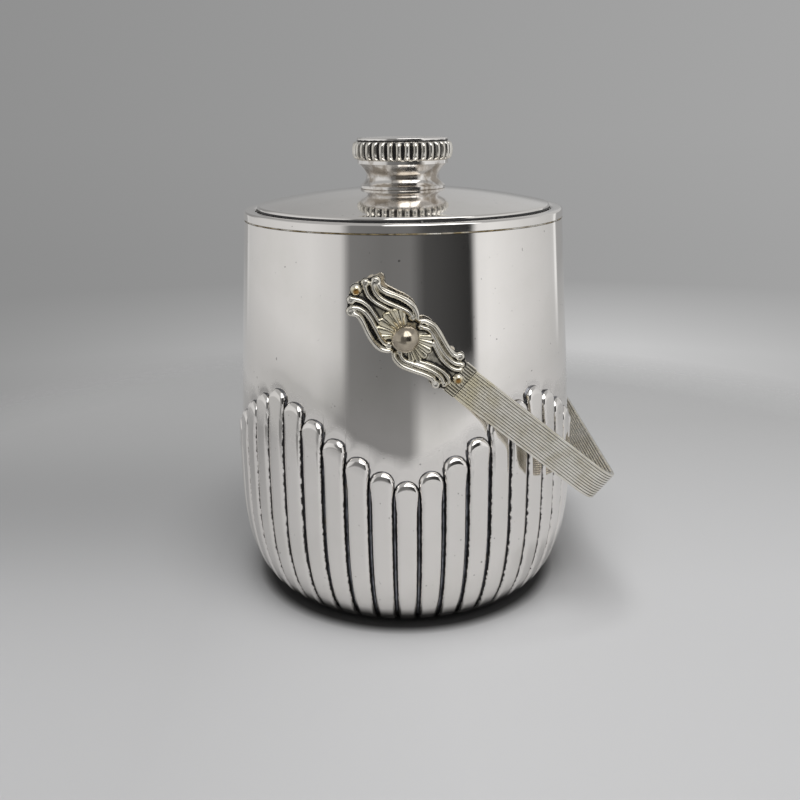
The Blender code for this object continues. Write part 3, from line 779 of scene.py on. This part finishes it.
def make_lid_pan():
    outer = liner_mouth - 0.5 * MM
    inner = outer - lid_wall
    bend = 3.0 * MM
    low = pan_low.z
    corner = arc((outer - bend, low + bend), bend, 0, -90, 8)
    inside = arc((inner - bend, low + lid_wall + bend), bend, -90, 0, 8)
    profile = [(0.0, low + lid_wall)] + inside + [(inner, pan_high.z), (pan_high.x, pan_high.z)]
    profile += [(pan_high.x, pan_high.z - lid_wall), (outer, pan_high.z - lid_wall)] + corner + [(0.0, low)]
    turned_piece("lid_plug", profile, "lid", "liner_metal", "lid_pan", liner_satin, 160)


def make_knob():
    """The turned spool, waisted between its foot and its shoulder, and the cap over the ribbed ring."""
    foot_low = dome(knob_foot) + seam
    foot_high = foot_low + knob_foot_edge
    shoulder_high = ring_middle - ring_tall / 2 - seam
    shoulder_low = shoulder_high - knob_shoulder_edge
    boss = ring_high.x - ring_thickness - fit_gap
    waist = []
    for i in range(1, waist_steps + 1):
        share = i / waist_steps
        radius = knob_foot + (knob_neck - knob_foot) * math.sin(share * math.pi / 2)
        waist.append((radius, foot_high + (knob_neck_height - foot_high) * share**knob_foot_sweep))
    for i in range(1, waist_steps + 1):
        share = i / waist_steps
        radius = knob_neck + (knob_shoulder - knob_neck) * (1 - math.cos(share * math.pi / 2))
        waist.append((radius, knob_neck_height + (shoulder_low - knob_neck_height) * share))
    edge = 0.25 * MM
    profile = [(0.0, spool_high.z), (boss, spool_high.z), (boss, shoulder_high)]
    profile += [(knob_shoulder - edge, shoulder_high), (knob_shoulder, shoulder_high - edge)] + waist[::-1]
    profile += [(knob_foot, foot_high), (knob_foot + edge, foot_high - edge)]
    profile += [(knob_foot + edge, foot_low + edge), (knob_foot, foot_low)]
    bore_top = spool_high.z - screw_cover
    profile += [(screw_bore, dome(screw_bore) + fit_gap), (screw_bore, bore_top), (0.0, bore_top)]
    turned_piece("knob_spool", profile, "lid", "polished_plate", "knob_body", stained_plate, 128)
    bend = 0.35 * MM
    low = ring_middle + ring_tall / 2 + seam
    rim = arc((cap_high.x - bend, cap_high.z - bend), bend, 90, 0, 6)
    rim += arc((cap_high.x - bend, low + bend), bend, 0, -90, 6)
    sunk = 0.3 * MM
    dish = cap_high.x - 2.4 * MM
    profile = [(0.0, cap_high.z - sunk), (dish, cap_high.z - sunk), (dish + 2 * sunk, cap_high.z)]
    profile += rim + [(0.0, low)]
    # Painted shade on the cap's side below its top rim, for the shadowed gap over the ribbed ring
    shade = cap_high.z - bend
    turned_piece(
        "knob_top", profile, "lid", "polished_plate", "knob_cap", turned_plate, 128, dark_below=shade
    )


def rib_tree():
    """A ring whose outer face swells into upright ribs."""
    tree, size = new_shape_tree("ribbed_ring", ring_sizes)
    mesh, _, lobe, across, row = lobe_grid(tree, knob_ribs, rib_columns, rib_rows, math.tau)
    half = size["Thickness"] / 2
    out = row.cosine()
    rise = row.sine()
    face = out.above(0) ** rib_fade
    side = abs(across) / rib_share
    groove = 1 - (1 - side * side).root()
    radius = size["Outer radius"] - half + half * (out.math("SIGN") * abs(out) ** ring_squareness)
    pinched = radius - size["Rib depth"] * groove * face
    height = size["Middle"] + size["Tall"] / 2 * (rise.math("SIGN") * abs(rise) ** ring_squareness)
    angle = (lobe + across / 2 + 0.5) * (math.tau / knob_ribs)
    held = store(tree, mesh, "recess", from_to(side, *rib_oxide) * face)
    spot = polar(tree, pinched, angle, height)
    ring = add_node(tree, "GeometryNodeSetPosition", {"Geometry": held, "Position": spot})
    close_shape_tree(tree, weld(tree, ring.outputs[0], grid_weld), cast_plate)
    return tree


def make_rib_ring():
    ring = baked("knob_rib_ring", rib_tree(), ring_sizes)
    face_outward(ring.data)
    dress(ring, "lid", "oxidised_plate", "knob_ring")


def face_outward(mesh):
    """Close any open end, and turn every face outward."""
    bm = bmesh.new()
    bm.from_mesh(mesh)
    bmesh.ops.holes_fill(bm, edges=bm.edges, sides=0)
    bmesh.ops.recalc_face_normals(bm, faces=bm.faces)
    bm.to_mesh(mesh)
    bm.free()


# Pivots

stud_radius = 2.0 * MM
ball_radius = 5.1 * MM
ball_seat = 3.9 * MM
ball_centre = -stud_low.y - ball_radius


def make_pivots():
    """Ball-headed studs and the spacers behind the cartouches."""
    seat = math.degrees(math.asin(ball_seat / ball_radius))
    ball = [(0.0, ball_centre + ball_radius)] + arc((0.0, ball_centre), ball_radius, 87, -seat, 30)
    stud = ball + [(stud_radius, ball_centre - ball_seat), (stud_radius, -stud_high.y), (0.0, -stud_high.y)]
    edge = 0.3 * MM
    wide = spacer_high.x
    near = -spacer_high.y
    far = -spacer_low.y
    bore = stud_radius + fit_gap
    spacer = [(bore, far), (wide - edge, far), (wide, far - edge)]
    spacer += [(wide, near + edge), (wide - edge, near), (bore, near)]
    for side, sign in (("front", -1), ("rear", 1)):
        place = Matrix.Translation((0, 0, pivot_height)) @ Matrix.Rotation(-sign * math.pi / 2, 4, "X")
        for name, node, profile in (("ball_stud", "pivot_stud", stud), ("spacer", "pivot_spacer", spacer)):
            names = f"{name}_{side}", f"{node}_{side}"
            turned_piece(names[0], profile, "bucket", "polished_plate", names[1], ball_plate, 64, place)


# Handle strap

strap_width = 13.0 * MM
strap_thickness = 2.0 * MM
strap_inset = 0.14 * MM
strap_reeds = 12
strap_columns = 8
strap_rows = 220
strap_stain = 0.05
strap_straw = 0.25
strap_edge = (0.008, 0.03)
reed_depth = 0.38 * MM
reed_line = 0.27
strap_sizes = {
    "Width": strap_width - strap_inset,
    "Thickness": strap_thickness - strap_inset,
    "Reed depth": reed_depth,
}
strap_start = 28.7 * MM
strap_reach = 105.4 * MM
strap_corner = 16.0 * MM
strap_draw_in = 9.0 * MM
strap_offset = strap_thickness / 2 - cartouche_high.y
strap_inside = strap_reach - strap_thickness / 2
stop_radius = belly_radius + flute_rise + fit_gap
stop_reach = math.hypot(strap_inside, strap_width / 2)
rest_angle = math.acos(stop_radius / stop_reach) - math.atan2(strap_width / 2, strap_inside)
handle_place = Matrix.Translation((0, 0, pivot_height)) @ Matrix.Rotation(rest_angle, 4, "Y")


def strap_path():
    """The strap's centre line in the handle's own plane, from the front cartouche round to the rear."""
    splay = math.atan2(strap_draw_in, strap_reach - strap_corner - strap_start)
    centre = (strap_reach - strap_corner, strap_corner + strap_draw_in - strap_offset)
    front = [(strap_start, -strap_offset)] + arc(centre, strap_corner, math.degrees(splay) - 90, 0, 16)
    points = front + [(x, -y) for x, y in front[::-1]]
    curve = bpy.data.curves.new("strap_path", "CURVE")
    curve.dimensions = "3D"
    add_line(curve, points)
    return curve


def strap_tree():
    """A flat section, reeded on both faces, carried along the path."""
    tree, size = new_shape_tree("reeded_strap", strap_sizes)
    lobes = 2 * strap_reeds
    mesh, along, lobe, across, row = lobe_grid(tree, lobes, strap_columns, strap_rows, 1.0, 0.5)
    front = abs(along).math("LESS_THAN", strap_reeds / 2 + 0.01)
    front_spot = (lobe + across / 2) / strap_reeds
    back_spot = along.math("SIGN") - front_spot
    spot = (front_spot * front + back_spot * (1 - front)) * size["Width"]
    dip = 1 - (1 - across * across).root()
    out = (size["Thickness"] / 2 - size["Reed depth"] * dip) * (front * 2 - 1)
    stain = (0.5 - abs(row)) / strap_stain
    inside = from_to(abs(abs(front_spot) - 0.5), *strap_edge)
    held = store(tree, mesh, "recess", ((1 - abs(across)) / reed_line).bell() * inside)
    held = store(tree, held, "straw", stain.bell() * (1 - strap_straw) + strap_straw)
    path = tree.nodes["Group Input"].outputs["Geometry"]
    wires = {"Curves": path, "Factor": row + 0.5}
    point = add_node(tree, "GeometryNodeSampleCurve", wires, use_all_curves=True)
    upright = add_node(tree, "ShaderNodeCombineXYZ", {0: 0.0, 1: 0.0, 2: spot})
    outward = vector_sum(tree, "CROSS_PRODUCT", {0: point.outputs["Tangent"], 1: (0, 0, 1)})
    shift = vector_sum(tree, "SCALE", {0: outward[0], "Scale": out})
    face = vector_sum(tree, "ADD", {0: point.outputs["Position"], 1: shift[0]})
    place = vector_sum(tree, "ADD", {0: face[0], 1: upright.outputs[0]})
    strap = add_node(tree, "GeometryNodeSetPosition", {"Geometry": held, "Position": place[0]})
    close_shape_tree(tree, weld(tree, strap.outputs[0], grid_weld), cast_plate)
    return tree


def make_strap():
    strap = baked("reeded_strap", strap_tree(), strap_sizes, strap_path())
    face_outward(strap.data)
    strap.data.transform(handle_place)
    dress(strap, "handle", "oxidised_plate", "handle_strap", sharp=50)


# Cartouches: (along the strap, across it) in millimetres, on the upper half

plate_thick = 1.7
plate_voxel = 0.165
plate_lean = 0.07
plate_face = 0.44
carved_share = 0.75
soften_passes = 6
neck_start = 24.2
neck_end = 28.66
neck_half = 6.9
neck_reed = (strap_width - strap_inset) / strap_reeds / MM
free_outline = (
    (-26.4, 0.0), (-25.9, 1.9), (-24.7, 4.1), (-22.7, 7.1), (-20.4, 8.5), (-18.0, 7.3), (-13.5, 8.7),
    (-8.7, 10.5), (-4.8, 10.9), (-1.7, 9.6), (-0.2, 7.8),
)
strap_outline = (
    (-0.2, 7.8), (1.9, 9.7), (5.2, 10.5), (8.8, 9.7), (12.8, 8.1), (16.6, 7.0), (19.0, 7.9),
    (21.6, 7.8), (23.3, 6.8), (neck_start, 6.4),
)

# Raised rails: centre line, radius at its start and end, and crest height
free_rails = (
    (((-0.6, 7.7), (-1.6, 8.6), (-4.2, 9.7), (-7.4, 9.6), (-11.2, 8.6), (-15.0, 7.0), (-17.6, 6.4),
      (-19.4, 6.9), (-20.8, 7.6)), 1.3, 1.3, 1.9),
    (((-2.6, 6.8), (-5.5, 7.0), (-10.4, 5.4), (-13.6, 4.3), (-16.8, 3.8), (-19.5, 4.4), (-21.3, 5.8)),
     1.1, 1.2, 1.5),
    (((-10.5, 3.0), (-13.5, 2.1), (-16.8, 1.4), (-20.0, 1.6), (-22.7, 2.9)), 0.8, 1.1, 1.35),
)
strap_rails = (
    (((0.6, 7.8), (2.4, 9.0), (6.0, 9.4), (10.4, 8.1), (14.2, 6.7), (17.4, 5.9), (19.4, 6.4), (20.8, 7.0)),
     1.3, 1.2, 1.9),
    (((2.6, 6.3), (4.4, 7.2), (6.6, 7.1), (9.8, 5.9), (13.2, 4.6), (16.8, 3.7), (20.0, 3.7), (22.4, 4.7)),
     1.05, 1.1, 1.45),
    (((9.4, 4.4), (11.2, 3.6), (13.4, 2.7), (16.2, 1.8), (19.6, 1.5), (22.2, 2.0), (23.8, 3.2)),
     0.75, 1.05, 1.3),
)
# Round bosses: place, radius, crest height and depth of the eye; the volutes swell the plate's outline too
volutes = (((-20.9, 7.1), 1.9, 2.0, 0.9), ((-23.4, 4.0), 1.75, 1.8, 0.6), ((20.3, 6.8), 1.8, 2.0, 0.9))
curls = (((-2.4, 6.4), 1.35, 1.7, 0.5), ((2.2, 6.0), 1.2, 1.5, 0.5), ((22.9, 4.9), 1.2, 1.5, 0.0))
end_drops = ((-24.4, 2.3), (25.3, 2.2))
drop_crest = 1.9
fan_petals = 6
fans = ((math.pi, math.radians(104), 11.6), (0.0, math.radians(88), 11.4))
fan_root = 3.6

# Carving: the petals' heights and lines, and the shares of oxide and of straw tarnish
fan_droop = 0.16
fan_scallop = 0.9
fan_edge = 0.55
petal_line = 0.24
scallop_line = 0.4
petal_root = 0.45
petal_rise = 0.75
petal_valley = 0.35
petal_oxide = 0.65
petal_straw = 0.95
rail_oxide = 0.5
plate_oxide = 0.42
oxide_height = 0.55
plate_straw = 0.2
low_straw = 0.55
straw_height = 1.1
side_straw = 0.3
neck_crest = 0.3
neck_straw = 0.8
drop_oxide = 0.3
drop_straw = 2.4
drop_spot = (0.4, -0.4)


def curve_through(points, steps=8):
    """Spots along a smooth line through a few chosen ones."""
    knots = np.array(points, float)
    knots = np.vstack([2 * knots[0] - knots[1], knots, 2 * knots[-1] - knots[-2]])
    line = []
    for before, start, end, after in zip(knots, knots[1:], knots[2:], knots[3:]):
        for t in np.arange(steps) / steps:
            bend = (2 * before - 5 * start + 4 * end - after) * t**2
            twist = (3 * start - before - 3 * end + after) * t**3
            line.append(start + ((end - before) * t + bend + twist) / 2)
    return np.array(line + [knots[-2]])


def leaned(spots):
    """The free half leans a little towards the rim."""
    spots = np.array(spots, float)
    return np.column_stack([spots[:, 0], spots[:, 1] - plate_lean * np.minimum(spots[:, 0], 0)])


def off_line(spots, line):
    """Each spot's distance from a line, and how far along the line that is, from 0 to 1."""
    best = np.full(len(spots), np.inf)
    share = np.zeros(len(spots))
    for i, (start, end) in enumerate(zip(line, line[1:])):
        step = end - start
        t = np.clip((spots - start) @ step / (step @ step), 0, 1)
        far = np.linalg.norm(spots - start - t[:, None] * step, axis=1)
        nearer = far < best
        best[nearer] = far[nearer]
        share[nearer] = (i + t[nearer]) / (len(line) - 1)
    return best, share


def round_over(share):
    """A soft quarter round that falls from 1 at 0 to 0 at 1."""
    return np.clip(1 - share**2, 0, 1) ** 0.8


def fading(share):
    """1 at 0, falling away softly on both sides."""
    return np.exp(-(share**2))


def fan_relief(spots, heading, spread, radius):
    """A shell of petals round the ball: height, 1 in the lines between the petals, and what lies on it."""
    far = np.linalg.norm(spots, axis=1)
    turn = (np.arctan2(spots[:, 1], spots[:, 0]) - heading + math.pi) % math.tau - math.pi
    petal = turn / spread * fan_petals
    within = 2 * (petal - np.floor(petal)) - 1
    ridge = round_over(within)
    rim = radius * (1 - fan_droop * (2 * turn / spread) ** 2) - fan_scallop * (1 - ridge)
    share = np.clip((far - fan_root) / (rim - fan_root), 0, 1)
    inside = (np.abs(turn) < spread / 2) & (far < rim)
    rolled = np.sqrt(np.clip((rim - far) / fan_edge, 0, 1))
    tall = (petal_root + petal_rise * share) * (petal_valley + (1 - petal_valley) * ridge) * rolled
    lines = np.maximum(fading((1 - np.abs(within)) / petal_line), fading((rim - far) / scallop_line))
    return np.where(inside, tall, 0), np.where(inside, lines, 0), inside


def cartouche_relief(spots):
    """Height of the ornament over the plate, with the shares of oxide and of tarnish."""
    height = np.zeros(len(spots))
    beside = np.full(len(spots), np.inf)
    for mirror in (1, -1):
        for points, start, end, crest in free_rails + strap_rails:
            line = leaned(curve_through(points) * (1, mirror))
            far, share = off_line(spots, line)
            radius = start + (end - start) * share
            height = np.maximum(height, crest * round_over(far / radius))
            beside = np.minimum(beside, far - radius)
        for place, radius, crest, eye in volutes + curls:
            far = np.linalg.norm(spots - leaned([np.array(place) * (1, mirror)])[0], axis=1)
            boss = crest * round_over(far / radius) - eye * fading(far / (0.42 * radius))
            height = np.where(far < radius, np.maximum(boss, height * (far > 0.6 * radius)), height)
            beside = np.minimum(beside, far - radius)
    floor = plate_oxide + (1 - plate_oxide) * fading(beside / rail_oxide)
    oxide = floor * np.clip(1.25 - height / oxide_height, 0, 1)
    straw = plate_straw + low_straw * np.clip(1 - height / straw_height, 0, 1)
    for heading, spread, radius in fans:
        petals, lines, inside = fan_relief(spots, heading, spread, radius)
        over = inside & (petals > height)
        height = np.where(over, petals, height)
        oxide = np.where(over, petal_oxide * lines, oxide)
        straw = np.where(over, petal_straw, straw)

    # The neck carries the strap's reeds on
    neck = spots[:, 0] > neck_start
    reed = spots[:, 1] / neck_reed
    within = 2 * (reed - np.floor(reed)) - 1
    height = np.where(neck, neck_crest * round_over(within), height)
    oxide = np.where(neck, fading((1 - np.abs(within)) / reed_line), oxide)
    straw = np.where(neck, neck_straw, straw)
    for along, radius in end_drops:
        offset = spots - leaned([(along, 0.0)])[0]
        far = np.linalg.norm(offset, axis=1)
        drop = drop_crest * round_over(far / radius)
        over = drop > height
        height = np.where(over, drop, height)
        oxide = np.where(over, fading((radius - far) / drop_oxide), oxide)
        low_side = fading(np.linalg.norm(offset - drop_spot, axis=1) / (0.7 * radius))
        straw = np.where(over, drop_straw * low_side, straw)
    return height, oxide, straw


def cartouche_blank():
    """The pierced plate with lobes for its volutes, remeshed fine enough to carve."""
    half = np.vstack([curve_through(free_outline), curve_through(strap_outline)])
    half = np.vstack([half, [(neck_start, neck_half), (neck_end, neck_half)]])
    rim = leaned(np.vstack([half, (half * (1, -1))[::-1]]))
    curve = bpy.data.curves.new("cartouche_plate", "CURVE")
    curve.dimensions = "2D"
    curve.fill_mode = "BOTH"
    curve.extrude = plate_thick / 2
    bore = arc((0, 0), (stud_radius + fit_gap) / MM, 0, 345, 23)
    for line in (rim, bore):
        add_line(curve, line, closed=True)
    bm = bmesh.new()
    bm.from_mesh(evaluated_mesh(add_object("cartouche_plate", curve)))
    lobes = [(place, radius) for place, radius, _, _ in volutes]
    lobes += [((along, 0.0), radius) for along, radius in end_drops[:1]]
    for place, radius in lobes:
        for mirror in (1, -1):
            x, y = leaned([np.array(place) * (1, mirror)])[0]
            spot = Matrix.Translation((x, y, 0))
            wide = {"radius1": radius, "radius2": radius}
            bmesh.ops.create_cone(bm, cap_ends=True, segments=32, depth=plate_thick, matrix=spot, **wide)
    item = add_object("cartouche_blank", mesh_of(bm, "cartouche_blank"))
    step = item.modifiers.new("fine", "REMESH")
    step.mode = "VOXEL"
    step.voxel_size = plate_voxel
    return evaluated_mesh(item)


def soften(mesh):
    """Ease the fine steps that the remesh leaves."""
    bm = bmesh.new()
    bm.from_mesh(mesh)
    axes = {f"use_axis_{axis}": True for axis in "xyz"}
    for _ in range(soften_passes):
        bmesh.ops.smooth_vert(bm, verts=bm.verts, factor=0.5, **axes)
    bm.to_mesh(mesh)
    bm.free()


def make_cartouches():
    mesh = cartouche_blank()
    places = np.zeros(len(mesh.vertices) * 3)
    mesh.vertices.foreach_get("co", places)
    places = places.reshape(-1, 3)
    height, oxide, straw = cartouche_relief(places[:, :2])
    rise = np.clip((places[:, 2] / plate_thick + plate_face) / (2 * plate_face), 0, 1)
    places[:, 2] = rise * (plate_thick + height)
    mesh.vertices.foreach_set("co", (places * MM).ravel())
    for label, values, on_side in (("recess", oxide, 0.0), ("straw", straw, side_straw)):
        keep_values(mesh, label, np.where(rise > carved_share, values, on_side).astype(np.float32))
    soften(mesh)
    inner = -cartouche_high.y
    for side, sign in (("front", -1), ("rear", 1)):
        piece = mesh.copy()
        piece.name = f"scrolled_cartouche_{side}"
        stand = Matrix.Translation((0, sign * inner, 0)) @ Matrix.Rotation(math.pi / 2, 4, "X")
        if sign > 0:
            stand = stand @ Matrix.Scale(-1, 4, (0, 0, 1))
        piece.transform(handle_place @ stand)
        if sign > 0:
            piece.flip_normals()
        item = add_object(piece.name, piece)
        dress(item, "handle", "oxidised_plate", f"cartouche_{side}", material=cast_plate)


# Hidden pieces keep their solids, in their own finish

hidden_finishes = {
    foam: ("insulation_sleeve", "insulation_disc", "lid_insulation"),
    base_brass: ("pivot_nut_front", "pivot_nut_rear", "knob_screw", "knob_washer"),
}


def finish_hidden():
    for material, names in hidden_finishes.items():
        for name in names:
            data = frame["nodes"][name].data
            data.materials.clear()
            data.materials.append(material)


# Studio

camera_lens = 41.15
camera_back = 0.39833
camera_high = 0.20316
camera_pitch = 17.31
camera_yaw = 0.31
camera_roll = -0.62
camera_orbit = -0.35

# The floor: where it fades, and where painted shade darkens it, with a contact shadow under the foot, a
# darker left side and a falloff towards the back
floor_radius = 1.2
floor_fade = (0.33, 0.43)
floor_front = (0.24, 0.36)
floor_contact = (0.0635, 0.0695)
floor_contact_level = 0.12
floor_near = (-0.2, 0.03)
floor_dim_left = (-0.02, 0.09)
floor_dim_middle = -0.065
floor_dim_reach = 0.11
floor_dim_most = 0.28
floor_dim_least = 0.1
NEAR_FLOOR = (0.535, 0.535, 0.54, 1)
FAR_FLOOR = (0.45, 0.45, 0.45, 1)
UNLIT = (0, 0, 0, 1)

# What polished metal mirrors: degrees round the room from behind the camera to its right, and brightness
room_levels = (
    (-180, 0.30), (-147, 0.34), (-145, 0.62), (-140, 0.54), (-98, 0.66), (-66, 0.70), (-44, 0.60),
    (-37, 0.19), (-14, 0.16), (4, 0.17), (14, 0.07), (46, 0.03), (51, 0.80), (60, 0.84), (92, 0.68),
    (126, 0.56), (131, 0.58), (133, 0.86), (136, 0.86), (138, 0.34), (180, 0.30),
)
ground_levels = (
    (-180, 0.40), (-125, 0.50), (-60, 0.46), (-40, 0.22), (3, 0.24), (12, 0.64), (24, 0.66), (60, 0.71),
    (120, 0.52), (180, 0.40),
)
ground_start = (-0.12, -0.2)
overhead_start = (0.42, 0.62)
overhead_level = 0.42
lid_panel_ahead = (0.55, 0.75)
lid_panel_up = (0.06, 0.14)
lid_panel_across = (-0.36, 0.2)
lid_panel_levels = (0.27, 0.53)
window_level = 2.4
window_height = (0.52, 0.97)
window_soft = (0.004, 0.02)
windows = ((-16, 28), (32, 62))

# The backdrop: a span of directions, and the brightness at its two ends
upper_across = (-0.4, 0.4, 0.277, 0.378)
upper_fall = (-0.02, -0.13, 1.0, 0.955)
lower_across = (-0.4, 0.2, 0.31, 0.555)
lower_right = (0.25, 0.42, 1.0, 0.85)
lower_start = (-0.17, -0.235)
plain_light = (0.0, 0.5, 0.03, 0.30)
lamp_size = 0.75
lamp_energy = 15.0
lamp_place = (0.03, -0.3, 1.3)
lamp_target = (0, 0, 0.08)


def place_camera():
    camera = add_object("camera", bpy.data.cameras.new("camera"))
    camera.data.lens = camera_lens
    orbit = Matrix.Rotation(math.radians(camera_orbit), 4, "Z")
    stand = orbit @ Matrix.Translation((0, -camera_back, camera_high))
    yaw = Matrix.Rotation(math.radians(camera_yaw), 4, "Z")
    pitch = Matrix.Rotation(math.radians(90 - camera_pitch), 4, "X")
    roll = Matrix.Rotation(math.radians(camera_roll), 4, "Z")
    camera.matrix_world = stand @ yaw @ pitch @ roll
    bpy.context.scene.camera = camera


def grey_of(level):
    return level, level, level, 1


def level_ramp(tree, place, levels):
    """Brightness round the room, from 0 and 1 in front of the camera to a half behind it."""
    ramp = add_node(tree, "ShaderNodeValToRGB", {0: place})
    stops = ramp.color_ramp.elements
    while len(stops) < len(levels):
        stops.new(0.5)
    for stop, (degrees, level) in zip(stops, levels):
        stop.position = degrees / 360 + 0.5
        stop.color = grey_of(level)
    return ramp.outputs[0]


def between(value, low, high, soft):
    """1 between two bounds, with soft edges."""
    return from_to(value, low - soft, low + soft) * from_to(value, high - soft, high + soft, 1, 0)


def light_room():
    """A grey room for the camera, light panels for the metal to mirror, and a plain level for the rest."""
    world = bpy.data.worlds.new("studio")
    world.use_nodes = True
    bpy.context.scene.world = world
    tree = world.node_tree
    right, ahead, up = split_axes(tree, tree.nodes.new("ShaderNodeTexCoord").outputs["Generated"])
    turn = right.math("ARCTAN2", ahead * -1) / math.tau + 0.5

    # The room that the metal mirrors
    walls = level_ramp(tree, turn, room_levels)
    panels = mixed(tree, from_to(up, *overhead_start), walls, grey_of(overhead_level))
    ground = level_ramp(tree, turn, ground_levels)
    panels = mixed(tree, from_to(up, *ground_start), panels, ground)
    beyond = from_to(ahead, *lid_panel_ahead) * from_to(up, *lid_panel_up)
    panels = mixed(tree, beyond, panels, from_to(right, *lid_panel_across, *lid_panel_levels))
    for start, end in windows:
        wide = between(turn, start / 360 + 0.5, end / 360 + 0.5, window_soft[0])
        pane = wide * between(up, *window_height, window_soft[1])
        panels = mixed(tree, pane, panels, grey_of(window_level))

    # The backdrop that the camera sees, and the light that falls on the floor
    upper = from_to(right, *upper_across) * from_to(up, *upper_fall)
    lower = from_to(right, *lower_across) * from_to(right, *lower_right)
    grey = mixed(tree, from_to(up, *lower_start), upper, lower)
    rays = tree.nodes.new("ShaderNodeLightPath")
    plain = mixed(tree, rays.outputs["Is Glossy Ray"], from_to(up, *plain_light), panels)
    seen = mixed(tree, rays.outputs["Is Camera Ray"], plain, grey)
    wire(tree, seen, tree.nodes["Background"].inputs["Color"])


def lay_floor():
    """A pale floor that fades into the backdrop behind the object, and into the room before it, with
    painted shade: a dark contact shadow under the foot, the left side darker, most of all beside the
    object, and darker towards the back.
    """
    bm = bmesh.new()
    bmesh.ops.create_circle(bm, cap_ends=True, segments=96, radius=floor_radius)
    floor = add_object("floor", mesh_of(bm, "floor"))
    material, tree, shader, spot = new_finish("pale_floor")
    left, front = (axis * -1 for axis in split_axes(tree, spot)[:2])
    far = Sum(tree, vector_sum(tree, "LENGTH", {0: spot})["Value"])
    # Painted shade: the floor darkens towards the back
    shaded_floor = mixed(tree, from_to(front, *floor_near), FAR_FLOOR, NEAR_FLOOR)
    # Painted shadow: the left side darker, most of all beside the object
    dim = ((front - floor_dim_middle) / floor_dim_reach).bell() * floor_dim_most + floor_dim_least
    dim = from_to(left, *floor_dim_left) * dim
    # Painted contact shadow: nearly black under the foot, out to the contact radius
    lit = (1 - dim) * from_to(far, *floor_contact, floor_contact_level, 1)
    coat(tree, shader, mixed(tree, lit, UNLIT, shaded_floor), 0.75, 0.0)
    alpha = from_to(far, *floor_fade, 1, 0) * from_to(front, *floor_front, 1, 0)
    wire(tree, alpha, shader.inputs["Alpha"])
    floor.data.materials.append(material)


def hang_lamp():
    lamp = bpy.data.lights.new("soft_lamp", "AREA")
    lamp.shape = "DISK"
    lamp.size = lamp_size
    lamp.energy = lamp_energy
    item = add_object("soft_lamp", lamp)
    item.location = lamp_place
    item.rotation_euler = (Vector(lamp_target) - item.location).to_track_quat("-Z", "Y").to_euler()
    item.visible_camera = False
    item.visible_glossy = False


make_shell()
make_rim()
make_liner()
make_base()
make_lid()
make_lid_pan()
make_knob()
make_rib_ring()
make_pivots()
make_strap()
make_cartouches()
finish_hidden()
place_camera()
light_room()
lay_floor()
hang_lamp()

bpy.context.scene.view_settings.view_transform = "Standard"
